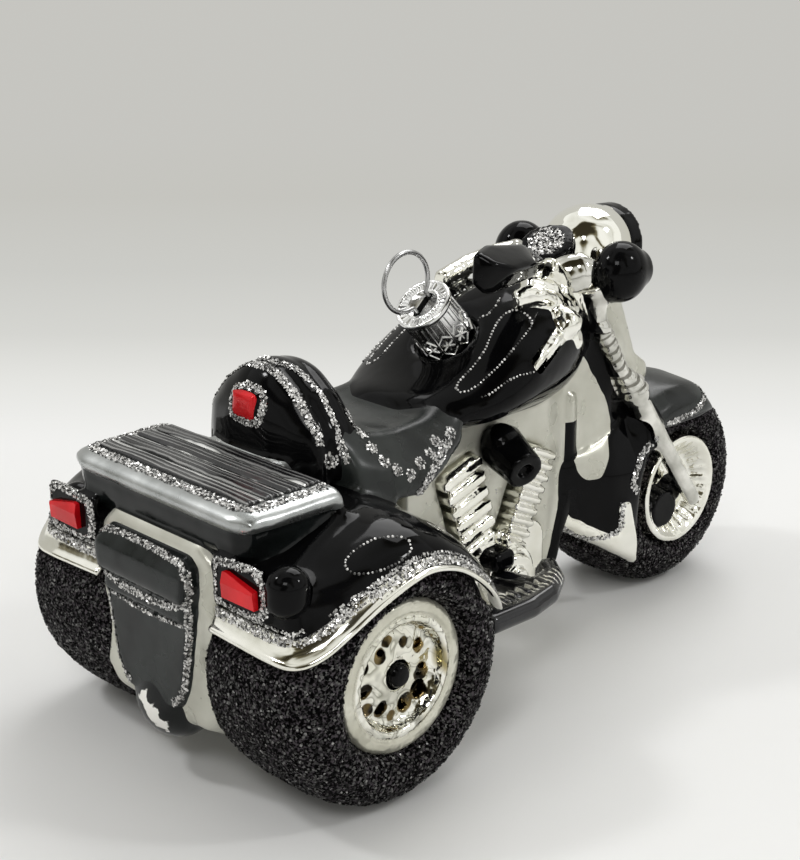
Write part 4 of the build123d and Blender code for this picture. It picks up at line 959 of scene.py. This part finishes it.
# where and how much the fork's upper legs and the web before them are drawn in
DRAWN_Z = 41.5               # it sets in over this height
DRAWN_Z_OVER = 3.5
DRAWN_TOP_Z = 54.0           # and fades over this one
DRAWN_TOP_OVER = 4.0
DRAWN_BACK_X = 64.5          # the line that it's drawn to, at a height and with a lean
DRAWN_BACK_Z = 57.0
DRAWN_LEAN = 0.42
WEB_NARROWER = 0.22
LEG_THINNER = 0.24
LEG_NARROWER = 0.2
LEG_FROM_Y = 6.6
LEG_FROM_OVER = 1.6
LEG_MIDDLE_Y = 7.2
LEG_MIDDLE_AHEAD = 2.4


def draw_in_fork(vertex):
    """Narrows the fork's upper legs and the web before them."""
    x, y, z = place_of(vertex.co)
    share = eased((z - DRAWN_Z) / DRAWN_Z_OVER) * (1 - eased((z - DRAWN_TOP_Z) / DRAWN_TOP_OVER))
    start = DRAWN_BACK_X + (DRAWN_BACK_Z - z) * DRAWN_LEAN
    if share == 0.0 or x < start - 3.0:
        return
    if x > start:
        x = start + (x - start) * (1 - WEB_NARROWER * share)
    thin = eased((abs(y) - LEG_FROM_Y) / LEG_FROM_OVER) * share
    middle = start + LEG_MIDDLE_AHEAD
    x = middle + (x - middle) * (1 - LEG_THINNER * thin)
    if abs(y) > LEG_MIDDLE_Y:
        y = math.copysign(LEG_MIDDLE_Y + (abs(y) - LEG_MIDDLE_Y) * (1 - LEG_NARROWER * thin), y)
    vertex.co = at(x, y, z)


TIP_FROM_X = 96.0            # the front fender's tip is drawn in from here
TIP_KEPT = 0.62
COWL_HALF_W = 7.4            # the fender's rear skirt is drawn in to this half width
COWL_X = (58.0, 82.0)
COWL_Z = 23.0


def shape_front_fender(mesh):
    """Draws in the front fender's tip, and its rear skirt towards the web."""
    start = at(TIP_FROM_X, 0, 0).x
    for vertex in mesh.vertices:
        if vertex.co.x > start:
            vertex.co.x = start + (vertex.co.x - start) * TIP_KEPT
    for vertex in mesh.vertices:
        x, y, z = place_of(vertex.co)
        if COWL_X[0] < x < COWL_X[1] and z > COWL_Z and abs(y) > COWL_HALF_W:
            share = eased((35.0 - z) / 11.0)
            fade = min(max((COWL_X[1] - x) / 5.0, 0.0), 1.0)
            kept = COWL_HALF_W + (abs(y) - COWL_HALF_W) * share
            vertex.co.y = math.copysign(kept * fade + abs(y) * (1 - fade), y) * MM


HUB_KEPT = 0.86
MARKER_KEPT = 0.84


def shrink_hubs_and_lamp(skin):
    """Draws the rear hubs in round their axle, and lowers the right marker lamp's top."""
    axle_x = at(0, 0, 0).x
    for name in pair("rear_hub"):
        for vertex in skin[name].data.vertices:
            vertex.co.x = axle_x + (vertex.co.x - axle_x) * HUB_KEPT
            vertex.co.z = (REAR_AXLE_Z + (vertex.co.z / MM - REAR_AXLE_Z) * HUB_KEPT) * MM
    lamp = skin["marker_lamp_right"].data
    low = min(v.co.z for v in lamp.vertices)
    for vertex in lamp.vertices:
        vertex.co.z = low + (vertex.co.z - low) * MARKER_KEPT


STRAND_HEAD = (52.0, -13.2, 54.6)
STRAND_TAIL = (44.4, -15.0, 51.4)


def taper_strand(mesh):
    """Tapers the silver bundle's last strand."""
    head, tail = at(*STRAND_HEAD), at(*STRAND_TAIL)
    line = tail - head
    for vertex in mesh.vertices:
        share = (vertex.co - head).dot(line) / line.length_squared
        if 0.0 < share < 1.4 and vertex.co.y < -0.0105:
            middle = head + line * share
            vertex.co = middle + (vertex.co - middle) * max(1.0 - 0.62 * share, 0.35)


# node, depth and pitch of its folds, in mm
FOLDS = (("cable_bundle", 0.42, 2.6), ("frame_core", 0.16, 4.0), ("rear_body", 0.10, 5.0))


def fold(mesh, depth, pitch):
    """Folds a piece's surface softly in and out, apart from its rim."""
    shifts = [v.normal * mathutils.noise.noise(v.co / (pitch * MM)) * depth * MM for v in mesh.vertices]
    edges = {}
    for polygon in mesh.polygons:
        for key in polygon.edge_keys:
            edges[key] = edges.get(key, 0) + 1
    rim = {v for key, count in edges.items() if count == 1 for v in key}
    for vertex, shift in zip(mesh.vertices, shifts):
        if vertex.index not in rim:
            vertex.co += shift


def shape_details(skin):
    """Every form that is drawn into the finished skin."""
    shape_front_fender(skin["front_fender"].data)
    for name, piece in skin.items():
        if not name.startswith(("passing_lamp", "grip", "fender_lip")):
            for vertex in piece.data.vertices:
                draw_in_fork(vertex)
    shrink_hubs_and_lamp(skin)
    taper_strand(skin["cable_bundle"].data)
    for name, depth, pitch in FOLDS:
        fold(skin[name].data, depth, pitch)


# ---- glitter ----
RANDOM = random.Random(20)
NUMBERS = np.random.default_rng(20)
FULL_TURN = 6.28             # what a random angle is drawn from
FLAKE_R = 0.19
FLAKE_SIDES = 5
FLAKE_TILT = 0.32
SCATTERED_TILT = 0.34
BAND_STEP = 0.2              # mm between the places at which a band's flakes are counted out
BAND_COVER = 2.0             # how many times over a band is covered
OFF_GLASS = 0.4              # mm from the glass at which a flake is left out
BEAD_PITCH = 0.62
BEAD_R = 0.21
BEAD_SIDES = 6
# name: width, both sides, points on the right side or across the middle
GLITTER_LINES = {
    "backrest_rear": (1.5, True, (
        (2.0, 0.0, 57.8), (2.2, -2.1, 57.6), (2.3, -3.9, 57.0), (2.3, -6.3, 55.6), (2.2, -8.4, 53.8),
        (2.3, -9.8, 52.2), (2.5, -11.2, 50.6), (2.8, -12.1, 48.3))),
    "backrest_front": (1.15, True, (
        (4.2, 0.0, 58.3), (4.5, -2.1, 58.0), (5.2, -3.8, 57.4), (5.9, -5.6, 56.3), (6.2, -7.3, 55.1),
        (6.3, -8.8, 53.9), (6.2, -10.5, 51.7), (6.0, -12.0, 49.9), (5.9, -13.0, 47.4), (6.0, -13.8, 45.4))),
    "backrest_lamp": (1.2, False, (
        (-1.0, 3.1, 54.6), (-0.4, 0.5, 55.3), (-0.3, -1.6, 55.2), (-0.3, -3.3, 54.6), (-0.5, -3.7, 53.2),
        (-1.0, -3.5, 51.6), (-1.3, -2.9, 50.4), (-1.3, -1.2, 50.2), (-1.3, 0.8, 50.2), (-1.3, 2.6, 50.6),
        (-1.3, 3.3, 52.0), (-1.2, 3.4, 53.6), (-1.0, 3.1, 54.6))),
    "seat_stripe": (1.7, True, (
        (28.3, -13.2, 45.2), (27.2, -13.9, 44.6), (25.2, -14.8, 43.6), (21.8, -16.1, 41.6),
        (18.6, -17.2, 39.3), (16.6, -17.6, 37.9))),
    "plate_top": (1.15, False, (
        (-20.2, 10.2, 35.6), (-20.2, 8.1, 36.7), (-20.0, 4.8, 36.8), (-20.1, 0.2, 36.8),
        (-20.3, -4.2, 36.6), (-20.4, -6.6, 36.5), (-20.5, -8.9, 36.1), (-20.5, -10.0, 34.9),
        (-20.4, -10.2, 33.0))),
    "plate_side": (1.15, True, (
        (-20.3, -10.2, 34.0), (-20.2, -10.0, 31.2), (-20.0, -9.7, 28.0), (-19.8, -9.2, 24.7),
        (-19.8, -8.4, 19.7), (-19.8, -7.7, 16.5), (-19.9, -6.5, 14.4), (-20.2, -4.9, 13.4))),
    "plate_step": (1.1, True, (
        (-20.9, 0.0, 28.8), (-20.9, -2.0, 28.8), (-20.8, -6.1, 29.0), (-20.8, -8.6, 29.8),
        (-20.5, -10.0, 31.0))),
    "plate_third": (0.55, True, (
        (-20.0, 0.0, 25.9), (-20.0, -3.0, 26.0), (-20.0, -5.8, 26.2), (-20.0, -8.5, 26.5))),
    "tail_lamp": (1.3, True, (
        (-19.0, -14.5, 38.0), (-19.0, -17.0, 38.5), (-18.8, -19.7, 38.7), (-18.6, -21.7, 38.8),
        (-18.6, -23.4, 38.6), (-18.9, -24.6, 37.2), (-19.0, -24.8, 35.0), (-19.0, -24.4, 32.8),
        (-19.0, -22.4, 32.2), (-19.0, -19.4, 31.9), (-19.0, -16.2, 32.0), (-19.0, -14.5, 32.6),
        (-19.0, -14.2, 35.0), (-19.0, -14.5, 38.0))),
    "cowl_arc": (1.3, True, (
        (80.9, -11.6, 30.6), (80.1, -11.6, 29.2), (78.1, -11.7, 28.1), (76.6, -11.7, 26.2),
        (75.5, -11.5, 24.6), (75.1, -11.5, 23.2), (75.8, -11.6, 22.2), (76.6, -11.7, 21.5))),
    "fender_edge": (1.2, True, (
        (100.4, 0.0, 36.4), (99.6, -3.4, 36.3), (98.4, -6.3, 36.1), (97.5, -8.3, 35.6), (97.0, -9.6, 34.6),
        (94.3, -11.2, 33.6), (92.6, -11.4, 32.8), (90.2, -11.4, 32.2), (87.2, -11.4, 32.0),
        (84.1, -11.4, 31.9))),
    "trim_inside": (1.0, True, (
        (62.6, -6.6, 17.6), (63.1, -6.9, 16.9), (64.7, -7.5, 15.8), (66.8, -8.8, 15.0),
        (68.8, -10.1, 14.8), (71.0, -11.1, 14.9), (72.4, -11.4, 15.6), (72.6, -11.4, 17.2),
        (72.5, -11.5, 19.0), (72.7, -11.6, 20.4))),
}
TRUNK_BORDER = 1.7           # width of the glitter border around the lid
TRUNK_BORDER_INSET = 0.9
TRUNK_BORDER_CORNER = 2.0
LIP_FROST = 2.1              # width of the frosting along the lips' tops
# name: the piece that the beads lie on, or none for whatever is nearest, and points on the right side
BEAD_LINES = {
    "fender_oval": ("rear_fender_{}", (
        (-7.3, -27.9, 38.7), (-5.9, -27.6, 39.3), (-4.1, -27.7, 39.9), (-2.2, -28.0, 40.3),
        (-0.5, -29.0, 40.5), (1.0, -29.8, 40.3), (1.8, -30.7, 39.8), (1.3, -31.7, 39.0),
        (0.1, -32.2, 38.4), (-1.8, -32.2, 37.9), (-4.1, -32.0, 37.7), (-6.1, -31.3, 37.5),
        (-7.7, -30.3, 37.5), (-8.2, -29.3, 38.0), (-7.9, -28.4, 38.3), (-7.3, -27.9, 38.7))),
    "tank_drop": ("tank", (
        (32.8, -9.4, 49.6), (33.9, -8.9, 50.2), (35.1, -8.9, 50.9), (36.8, -9.0, 51.9), (38.5, -8.9, 53.0),
        (40.3, -8.6, 54.3), (42.2, -7.8, 55.7), (44.2, -7.1, 57.1), (45.5, -6.9, 57.8), (46.6, -6.9, 58.2),
        (48.0, -7.5, 58.5), (48.6, -8.7, 58.3), (48.7, -9.7, 58.0), (48.6, -10.7, 57.5),
        (47.7, -11.3, 56.8), (45.6, -11.7, 55.8), (43.6, -11.9, 54.6), (41.1, -12.1, 53.2),
        (39.1, -12.1, 52.1), (37.3, -11.9, 51.1), (35.3, -11.7, 50.1), (33.6, -11.2, 49.4),
        (32.7, -10.4, 49.2), (32.8, -9.4, 49.6))),
    "tank_line": ("tank", (
        (34.6, -13.2, 48.6), (35.8, -13.8, 49.0), (37.2, -14.1, 49.7), (39.1, -14.4, 50.5),
        (41.3, -14.9, 51.1), (42.6, -15.3, 51.1), (43.8, -15.5, 51.2))),
    "tank_arc": ("tank", (
        (43.3, -3.8, 57.3), (43.9, -3.8, 57.7), (44.8, -4.7, 58.0), (46.9, -4.5, 58.8), (48.6, -3.8, 59.5))),
    "engine_seam": (None, (
        (44.6, -10.4, 33.0), (44.8, -10.4, 28.0), (45.2, -10.6, 24.0), (45.6, -10.8, 20.4))),
}
SEAT_DOTS = (
    (9.8, -9.6, 50.6), (10.3, -10.6, 49.6), (10.9, -11.9, 48.4), (10.9, -13.8, 46.5), (11.7, -15.6, 44.7),
    (13.4, -16.6, 43.2), (15.8, -16.9, 41.8), (18.6, -16.2, 42.9), (21.4, -15.5, 43.5),
    (23.6, -14.3, 44.6),
)
SEAT_DOT_R = 1.0
BACK_DOT = (4.1, -12.6, 45.8)
BACK_DOT_R = 1.2
DOT_FLAKES = 60
DIAL = (63.5, -0.2, 66.3)    # middle of the instrument's glittered face
DIAL_R = 3.0


def flake(points, faces, place, normal, radius):
    """One thin glitter flake, tilted at random on the surface."""
    tilt = Vector([RANDOM.gauss(0, FLAKE_TILT) for _ in range(3)])
    up = (normal + tilt).normalized()
    side = up.orthogonal().normalized()
    other = up.cross(side)
    turn = RANDOM.uniform(0, FULL_TURN)
    middle = place + normal * radius * RANDOM.uniform(0.15, 0.55)
    start = len(points)
    for i in range(FLAKE_SIDES):
        angle = turn + 2 * math.pi * i / FLAKE_SIDES
        points.append(middle + (side * math.cos(angle) + other * math.sin(angle)) * radius)
    faces.append(list(range(start, start + FLAKE_SIDES)))


def walk(points, step):
    """Places at even steps along a row of points, each with its direction."""
    places = []
    left = 0.0
    for start, end in zip(points, points[1:]):
        run = end - start
        length = run.length
        if length < 1e-9:
            continue
        along = left
        while along < length:
            places.append((start + run * (along / length), run / length))
            along += step
        left = along - length
    return places


def mirrored(points):
    """The same row of points on the other side."""
    return [Vector((p.x, -p.y, p.z)) for p in points]


def glitter_band(points, faces, tree, line, width):
    """Lays flakes in a band along a line on the glass."""
    per_step = BAND_COVER * width * BAND_STEP / (2.4 * FLAKE_R * FLAKE_R)
    owed = 0.0
    for place, direction in walk(line, BAND_STEP * MM):
        found, normal, _, _ = tree.find_nearest(place)
        across = normal.cross(direction).normalized()
        edge = width * RANDOM.uniform(0.86, 1.10)
        owed += per_step
        while owed > 1.0:
            owed -= 1.0
            shift = RANDOM.uniform(-0.5, 0.5) * edge * MM
            spot = found + across * shift + direction * RANDOM.uniform(-0.2, 0.2) * MM
            landed, lift, _, distance = tree.find_nearest(spot)
            if distance < OFF_GLASS * MM:
                flake(points, faces, landed, lift, FLAKE_R * RANDOM.uniform(0.55, 1.25) * MM)


def bead_line(points, faces, tree, line):
    """A dotted line of small glitter beads."""
    sides = BEAD_SIDES
    for place, _ in walk(line, BEAD_PITCH * MM):
        spot, normal, _, _ = tree.find_nearest(place)
        side = normal.orthogonal().normalized()
        other = normal.cross(side)
        size = BEAD_R * RANDOM.uniform(0.75, 1.2) * MM
        start = len(points)
        for height, spread in ((0.0, 1.0), (0.55, 0.8)):
            for i in range(sides):
                angle = 2 * math.pi * i / sides
                away = side * math.cos(angle) + other * math.sin(angle)
                points.append(spot + normal * size * height + away * size * spread)
        points.append(spot + normal * size * 0.95)
        for i in range(sides):
            j = (i + 1) % sides
            faces.append([start + i, start + j, start + sides + j, start + sides + i])
            faces.append([start + sides + i, start + sides + j, start + 2 * sides])


def scattered(piece, name, material, per_mm2, low_r, high_r, share_of, sides=4):
    """Flakes all over a piece, with the share that share_of gives each triangle."""
    mesh = piece.data
    mesh.calc_loop_triangles()
    tri = numbers_of(mesh.vertices, "co", 3)[numbers_of(mesh.loop_triangles, "vertices", 3)]
    along, beside = tri[:, 1] - tri[:, 0], tri[:, 2] - tri[:, 0]
    across = np.cross(along, beside)
    doubled = np.linalg.norm(across, axis=1)
    normal = across / np.maximum(doubled, 1e-18)[:, None]
    doubled = doubled * share_of(tri.mean(axis=1), normal)
    count = int(doubled.sum() / 2 / MM ** 2 * per_mm2)
    chosen = NUMBERS.choice(len(tri), size=count, p=doubled / doubled.sum())
    u = NUMBERS.random(count)
    v = NUMBERS.random(count)
    over = u + v > 1
    u[over] = 1 - u[over]
    v[over] = 1 - v[over]
    spot = tri[chosen, 0] + u[:, None] * along[chosen] + v[:, None] * beside[chosen]
    up = normal[chosen] + NUMBERS.normal(0, SCATTERED_TILT, (count, 3))
    up /= np.linalg.norm(up, axis=1)[:, None]
    helper = np.where(np.abs(up[:, 2:3]) < 0.9, np.array([[0.0, 0.0, 1.0]]), np.array([[1.0, 0.0, 0.0]]))
    side = np.cross(up, helper)
    side /= np.linalg.norm(side, axis=1)[:, None]
    other = np.cross(up, side)
    radius = NUMBERS.uniform(low_r, high_r, count) * MM
    middle = spot + normal[chosen] * (radius * NUMBERS.uniform(0.2, 0.7, count))[:, None]
    turn = NUMBERS.uniform(0, FULL_TURN, count)
    ring = []
    for i in range(sides):
        angle = turn + 2 * math.pi * i / sides
        sideways = side * (np.cos(angle) * radius)[:, None]
        ring.append(middle + sideways + other * (np.sin(angle) * radius)[:, None])
    points = np.stack(ring, axis=1).reshape(-1, 3)
    faces = np.arange(count * sides).reshape(-1, sides)
    finish_piece(name, points.tolist(), faces.tolist(), material)


def banded_piece(name, tree, rows, width):
    """A piece of flakes in bands of one width."""
    points, faces = [], []
    for row in rows:
        glitter_band(points, faces, tree, row, width)
    finish_piece(name, points, faces, "silver_glitter")


def trunk_border():
    """The glitter border's line around the lid, in the middle of its width."""
    inset = TRUNK_BORDER_INSET + TRUNK_BORDER / 2
    back, front, half = TRUNK_BACK_X + inset, TRUNK_FRONT_X - inset, TRUNK_HALF_W - inset + 0.4
    corner = TRUNK_BORDER_CORNER
    right = ((back, 0.0), (back, -half + corner), (back + corner * 0.6, -half), (front, -half), (front, 0.0))
    return all_at((x, y, RIM_TOP_Z) for x, y in right)


def glitter_dots(tree):
    """Round dots of flakes down the seat's sides and at the backrest's foot."""
    points, faces = [], []
    for (x, y, z), size in [(dot, SEAT_DOT_R) for dot in SEAT_DOTS] + [(BACK_DOT, BACK_DOT_R)]:
        for side in (1, -1):
            spot, normal, _, _ = tree.find_nearest(at(x, y * side, z))
            across = normal.orthogonal().normalized()
            other = normal.cross(across)
            for _ in range(DOT_FLAKES):
                angle = RANDOM.uniform(0, FULL_TURN)
                reach = size * math.sqrt(RANDOM.random()) * MM
                place = spot + across * math.cos(angle) * reach + other * math.sin(angle) * reach
                place, lift, _, _ = tree.find_nearest(place)
                flake(points, faces, place, lift, RANDOM.uniform(0.14, 0.25) * MM)
    finish_piece("glitter_dots", points, faces, "silver_glitter")


def on_dial(middle, normal):
    """One for each triangle on the instrument's face, which looks up."""
    near = np.linalg.norm((middle - np.array(at(*DIAL)))[:, :2], axis=1) < DIAL_R * MM
    return (near & (normal[:, 2] > 0.35)).astype(float)


def glitter_beads(skin, tree):
    """The dotted lines on both sides."""
    points, faces = [], []
    for carrier, line in BEAD_LINES.values():
        row = all_at(line)
        for word, path in (("right", row), ("left", mirrored(row))):
            bead_line(points, faces, search_tree([skin[carrier.format(word)]]) if carrier else tree, path)
    finish_piece("glitter_beads", points, faces, "silver_glitter", smooth=True)


def lay_glitter(skin):
    """All the silver glitter: bands, dots, the lips' frosting, the dial and beads."""
    tree = search_tree(skin.values())
    for name, (width, both, line) in GLITTER_LINES.items():
        row = all_at(line)
        banded_piece(f"glitter_{name}", tree, (row, mirrored(row)) if both else (row,), width)
    border = trunk_border()
    banded_piece("glitter_trunk", tree, (border, mirrored(border)), TRUNK_BORDER)
    glitter_dots(tree)
    band = [at(*(top[k] * 0.94 + edge[k] * 0.06 for k in range(3))) for top, edge in LIP_ROWS]
    banded_piece("glitter_lips", tree, (band, mirrored(band)), LIP_FROST)
    scattered(skin["instrument"], "glitter_dial", "silver_glitter", 14.0, 0.14, 0.26,
              on_dial, sides=5)
    glitter_beads(skin, tree)


TUCK_NEAR = 1.1              # mm from a fender within which a tyre is drawn in
TUCK_DEPTH = 0.8
BARE_NEAR = 0.55             # mm from a fender within which a tyre has no glitter
BARE_UNDER = 4.0             # and how far under a fender it has none


def tuck_tyres(skin):
    """Draws the tyres in where the fenders cover them, and gives the cover."""
    cover = search_tree(NODES[name] for name in (*pair("fender_lip"), *pair("rear_fender"), "front_fender"))
    for name in TYRES:
        vertices = skin[name].data.vertices
        moved = [(vertex.index, vertex.co - vertex.normal * TUCK_DEPTH * MM) for vertex in vertices
                 if cover.find_nearest(vertex.co, TUCK_NEAR * MM)[0] is not None]
        for index, place in moved:
            vertices[index].co = place
    return cover


def frost_tyres(skin):
    """Coarse black glitter all over the tyres."""
    cover = tuck_tyres(skin)

    def uncovered(middle, normal):
        """One for each triangle that no fender covers."""
        return np.array([0.0 if cover.find_nearest(Vector(p), BARE_NEAR * MM)[0] is not None
                         or cover.ray_cast(Vector(p), Vector(n), BARE_UNDER * MM)[0] is not None else 1.0
                         for p, n in zip(middle, normal)])

    for name in TYRES:
        scattered(skin[name], f"glitter_{name}", "tyre_glitter", 6.6, 0.14, 0.28, uncovered)


# ---- cap and hanger ----
TONGUES = 10
PANEL_R = CAP_R - 0.16       # distance of a tongue's corners from the cap's middle
PANEL_SPANS = (-1.0, -0.9, -0.84, -0.42, 0.0, 0.42, 0.84, 0.9, 1.0)
PANEL_LEVELS = (None, 1.5, 2.6, 4.2, 5.8, 7.4, 8.3)     # the first follows the tongue's pointed foot
STAR_Z = 2.75
STAR_OUTLINE = ((-1.22, 1.0), (0.0, 2.1), (1.22, 1.0), (1.22, -1.0), (0.0, -2.25), (-1.22, -1.0))
# radius, level and milling of each ring of the cap's top
CROWN_RINGS = (
    (4.48, 8.2, 0.0), (4.72, 8.45, 0.0), (4.74, 9.1, 0.0), (4.5, 9.42, 0.0), (4.2, 9.25, 0.0),
    (4.1, 9.08, 0.16), (2.95, 9.02, 0.16), (2.85, 9.3, 0.0), (2.55, 9.3, 0.0), (2.45, 9.02, 0.0),
)
FLAT_RING = 6                # the milled faces that end at this ring aren't smoothed
CROWN_PARTS = 120
SLOT_END_X = 1.74            # the slot is two half rounds this far out, drawn apart
SLOT_R = 0.62
SLOT_Z = 8.98
WELL_Z = 6.4
WELL_WIDER = 1.9
LOOP_R = 4.7
LOOP_PARTS = 64
WIRE_R = 0.4
WIRE_SIDES = 12
LEG_X = 1.7                  # how far apart from the middle the wire's legs stand
LEG_LOW_Z = 6.6
LEG_HIGH_Z = 9.0
RING_FOOT_Z = 10.2


def neck_frame():
    """The matrix that stands the cap on its neck."""
    lean = Matrix.Rotation(-math.radians(NECK_TILT), 4, "Y")
    return Matrix.Translation(at(*NECK_FOOT)) @ lean


def ridge(build, panel, start, end, width, height):
    """A raised ridge between two places on a pressed panel."""
    centre, side, up, out = panel
    a = centre + side * start[0] + up * start[1]
    b = centre + side * end[0] + up * end[1]
    along = (b - a).normalized()
    across = along.cross(out).normalized() * width
    low = -out * 0.05
    foot = (a - across + low, a + across + low, b + across + low, b - across + low)
    corners = [build.verts.new(p) for p in (*foot, a + out * height, b + out * height)]
    for face in ((0, 1, 4), (1, 2, 5, 4), (2, 3, 5), (3, 0, 4, 5)):
        build.faces.new([corners[k] for k in face])


def cap_tongue(build, middle, half):
    """One flat panel of the cap down to its pointed foot, with its seams."""
    rings = []
    for level in PANEL_LEVELS:
        ring = []
        for u in PANEL_SPANS:
            angle = middle + u * half
            foot = 0.35 + 1.15 * abs(u)
            high = foot if level is None else max(level, foot)
            seam = 0.10 if abs(u) > 0.87 and high > 2.2 else 0.0
            radius = PANEL_R * math.cos(half) / math.cos(u * half) * (1.0 - 0.006 * high) + seam
            ring.append(build.verts.new((radius * math.cos(angle), radius * math.sin(angle), high)))
        rings.append(ring)
    for low, high in zip(rings, rings[1:]):
        for k in range(len(PANEL_SPANS) - 1):
            build.faces.new((low[k], low[k + 1], high[k + 1], high[k]))


def cap_star(build, middle, half):
    """What is pressed into a tongue: a six-line star in a frame, under two upright lines."""
    out = Vector((math.cos(middle), math.sin(middle), 0))
    side = Vector((-math.sin(middle), math.cos(middle), 0))
    up = Vector((0, 0, 1))
    panel = (out * PANEL_R * math.cos(half) * 0.985 + up * STAR_Z, side, up, out)
    for i in range(6):
        turn = math.radians(60 * i + 30)
        inner, outer = [(reach * math.cos(turn), reach * math.sin(turn)) for reach in (0.14, 1.08)]
        ridge(build, panel, inner, outer, 0.15, 0.26)
    for start, end in zip(STAR_OUTLINE, STAR_OUTLINE[1:] + STAR_OUTLINE[:1]):
        ridge(build, panel, start, end, 0.11, 0.2)
    for u in (-0.55, 0.55):
        ridge(build, panel, (u, 2.4), (u, 5.0), 0.07, 0.12)


def cap_crown(build):
    """The cap's milled top, with a slot and a well for the wire's legs, painted dark as shade."""
    turns = [2 * math.pi * i / CROWN_PARTS for i in range(CROWN_PARTS)]
    rings = []
    for radius, level, milled in CROWN_RINGS:
        heights = [level + milled * (1 if i % 4 < 2 else -0.6) for i in range(CROWN_PARTS)]
        rings.append([build.verts.new((radius * math.cos(turn), radius * math.sin(turn), height))
                      for turn, height in zip(turns, heights)])
    mouth = [build.verts.new((math.copysign(SLOT_END_X, math.cos(turn)) + SLOT_R * math.cos(turn),
                              SLOT_R * math.sin(turn), SLOT_Z)) for turn in turns]
    # painted shade: the well below the slot is a dark sheet where the inside of the neck lies in shade
    deep = [build.verts.new((v.co.x, v.co.y * WELL_WIDER, WELL_Z)) for v in mouth]
    for low, high in zip(rings + [mouth], rings[1:] + [mouth, deep]):
        for i in range(CROWN_PARTS):
            j = (i + 1) % CROWN_PARTS
            face = build.faces.new((low[i], low[j], high[j], high[i]))
            face.smooth = high is not rings[FLAT_RING]
            face.material_index = 1 if high is deep else 0
    build.faces.new(deep).material_index = 1


def cap_piece():
    """Pressed metal cap: flat panels ending in pointed tongues with a star, a milled top and a slot."""
    build = bmesh.new()
    half = math.pi / TONGUES
    for n in range(TONGUES):
        middle = 2 * half * n + half
        cap_tongue(build, middle, half)
        cap_star(build, middle, half)
    cap_crown(build)
    stand = neck_frame()
    for vert in build.verts:
        vert.co = stand @ (vert.co * MM)
    bmesh.ops.recalc_face_normals(build, faces=build.faces)
    mesh = bpy.data.meshes.new("pressed_cap")
    build.to_mesh(mesh)
    build.free()
    mesh.materials.append(MATERIALS["cap_metal"])
    mesh.materials.append(MATERIALS["cap_slot_shade"])
    cap = new_object("pressed_cap", mesh)
    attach(cap, "cap_body")
    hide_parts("cap")


def hanger_piece():
    """The wire hanger: a round ring with two legs into the slot."""
    stand = neck_frame()
    gap = math.asin(LEG_X / LOOP_R)
    centre = RING_FOOT_Z + LOOP_R * math.cos(gap)
    line = [Vector((LEG_X, 0, LEG_LOW_Z)), Vector((LEG_X, 0, LEG_HIGH_Z))]
    for i in range(LOOP_PARTS + 1):
        turn = gap + (2 * math.pi - 2 * gap) * i / LOOP_PARTS
        line.append(Vector((LOOP_R * math.sin(turn), 0, centre - LOOP_R * math.cos(turn))))
    line.extend((Vector((-LEG_X, 0, LEG_HIGH_Z)), Vector((-LEG_X, 0, LEG_LOW_Z))))
    points, faces = [], []
    across = Vector((0, 1, 0))
    for i, place in enumerate(line):
        along = (line[min(i + 1, len(line) - 1)] - line[max(i - 1, 0)]).normalized()
        other = along.cross(across).normalized()
        for k in range(WIRE_SIDES):
            angle = 2 * math.pi * k / WIRE_SIDES
            away = (across * math.cos(angle) + other * math.sin(angle)) * WIRE_R
            points.append(stand @ ((place + away) * MM))
        for k in range(WIRE_SIDES if i else 0):
            j = (k + 1) % WIRE_SIDES
            base = (i - 1) * WIRE_SIDES
            faces.append((base + k, base + j, base + WIRE_SIDES + j, base + WIRE_SIDES + k))
    faces.append(tuple(range(WIRE_SIDES)))
    faces.append(tuple(range(len(points) - WIRE_SIDES, len(points))))
    wire = finish_piece("hanger_wire", points, faces, "wire", smooth=True, body="loop_body")
    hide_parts("hanger_loop")


make_camera()
make_stage()
make_light()
SKIN = build_skins()
lip_pieces(SKIN)
grip_piece(SKIN)
clamp_pieces()
shape_details(SKIN)
lay_glitter(SKIN)
frost_tyres(SKIN)
cap_piece()
hanger_piece()
for name in CAD_SHOWN:
    NODES[name].data.materials.clear()
    NODES[name].data.materials.append(MATERIALS[SLOT_OF[name]])

bpy.context.scene.view_settings.view_transform = "Standard"
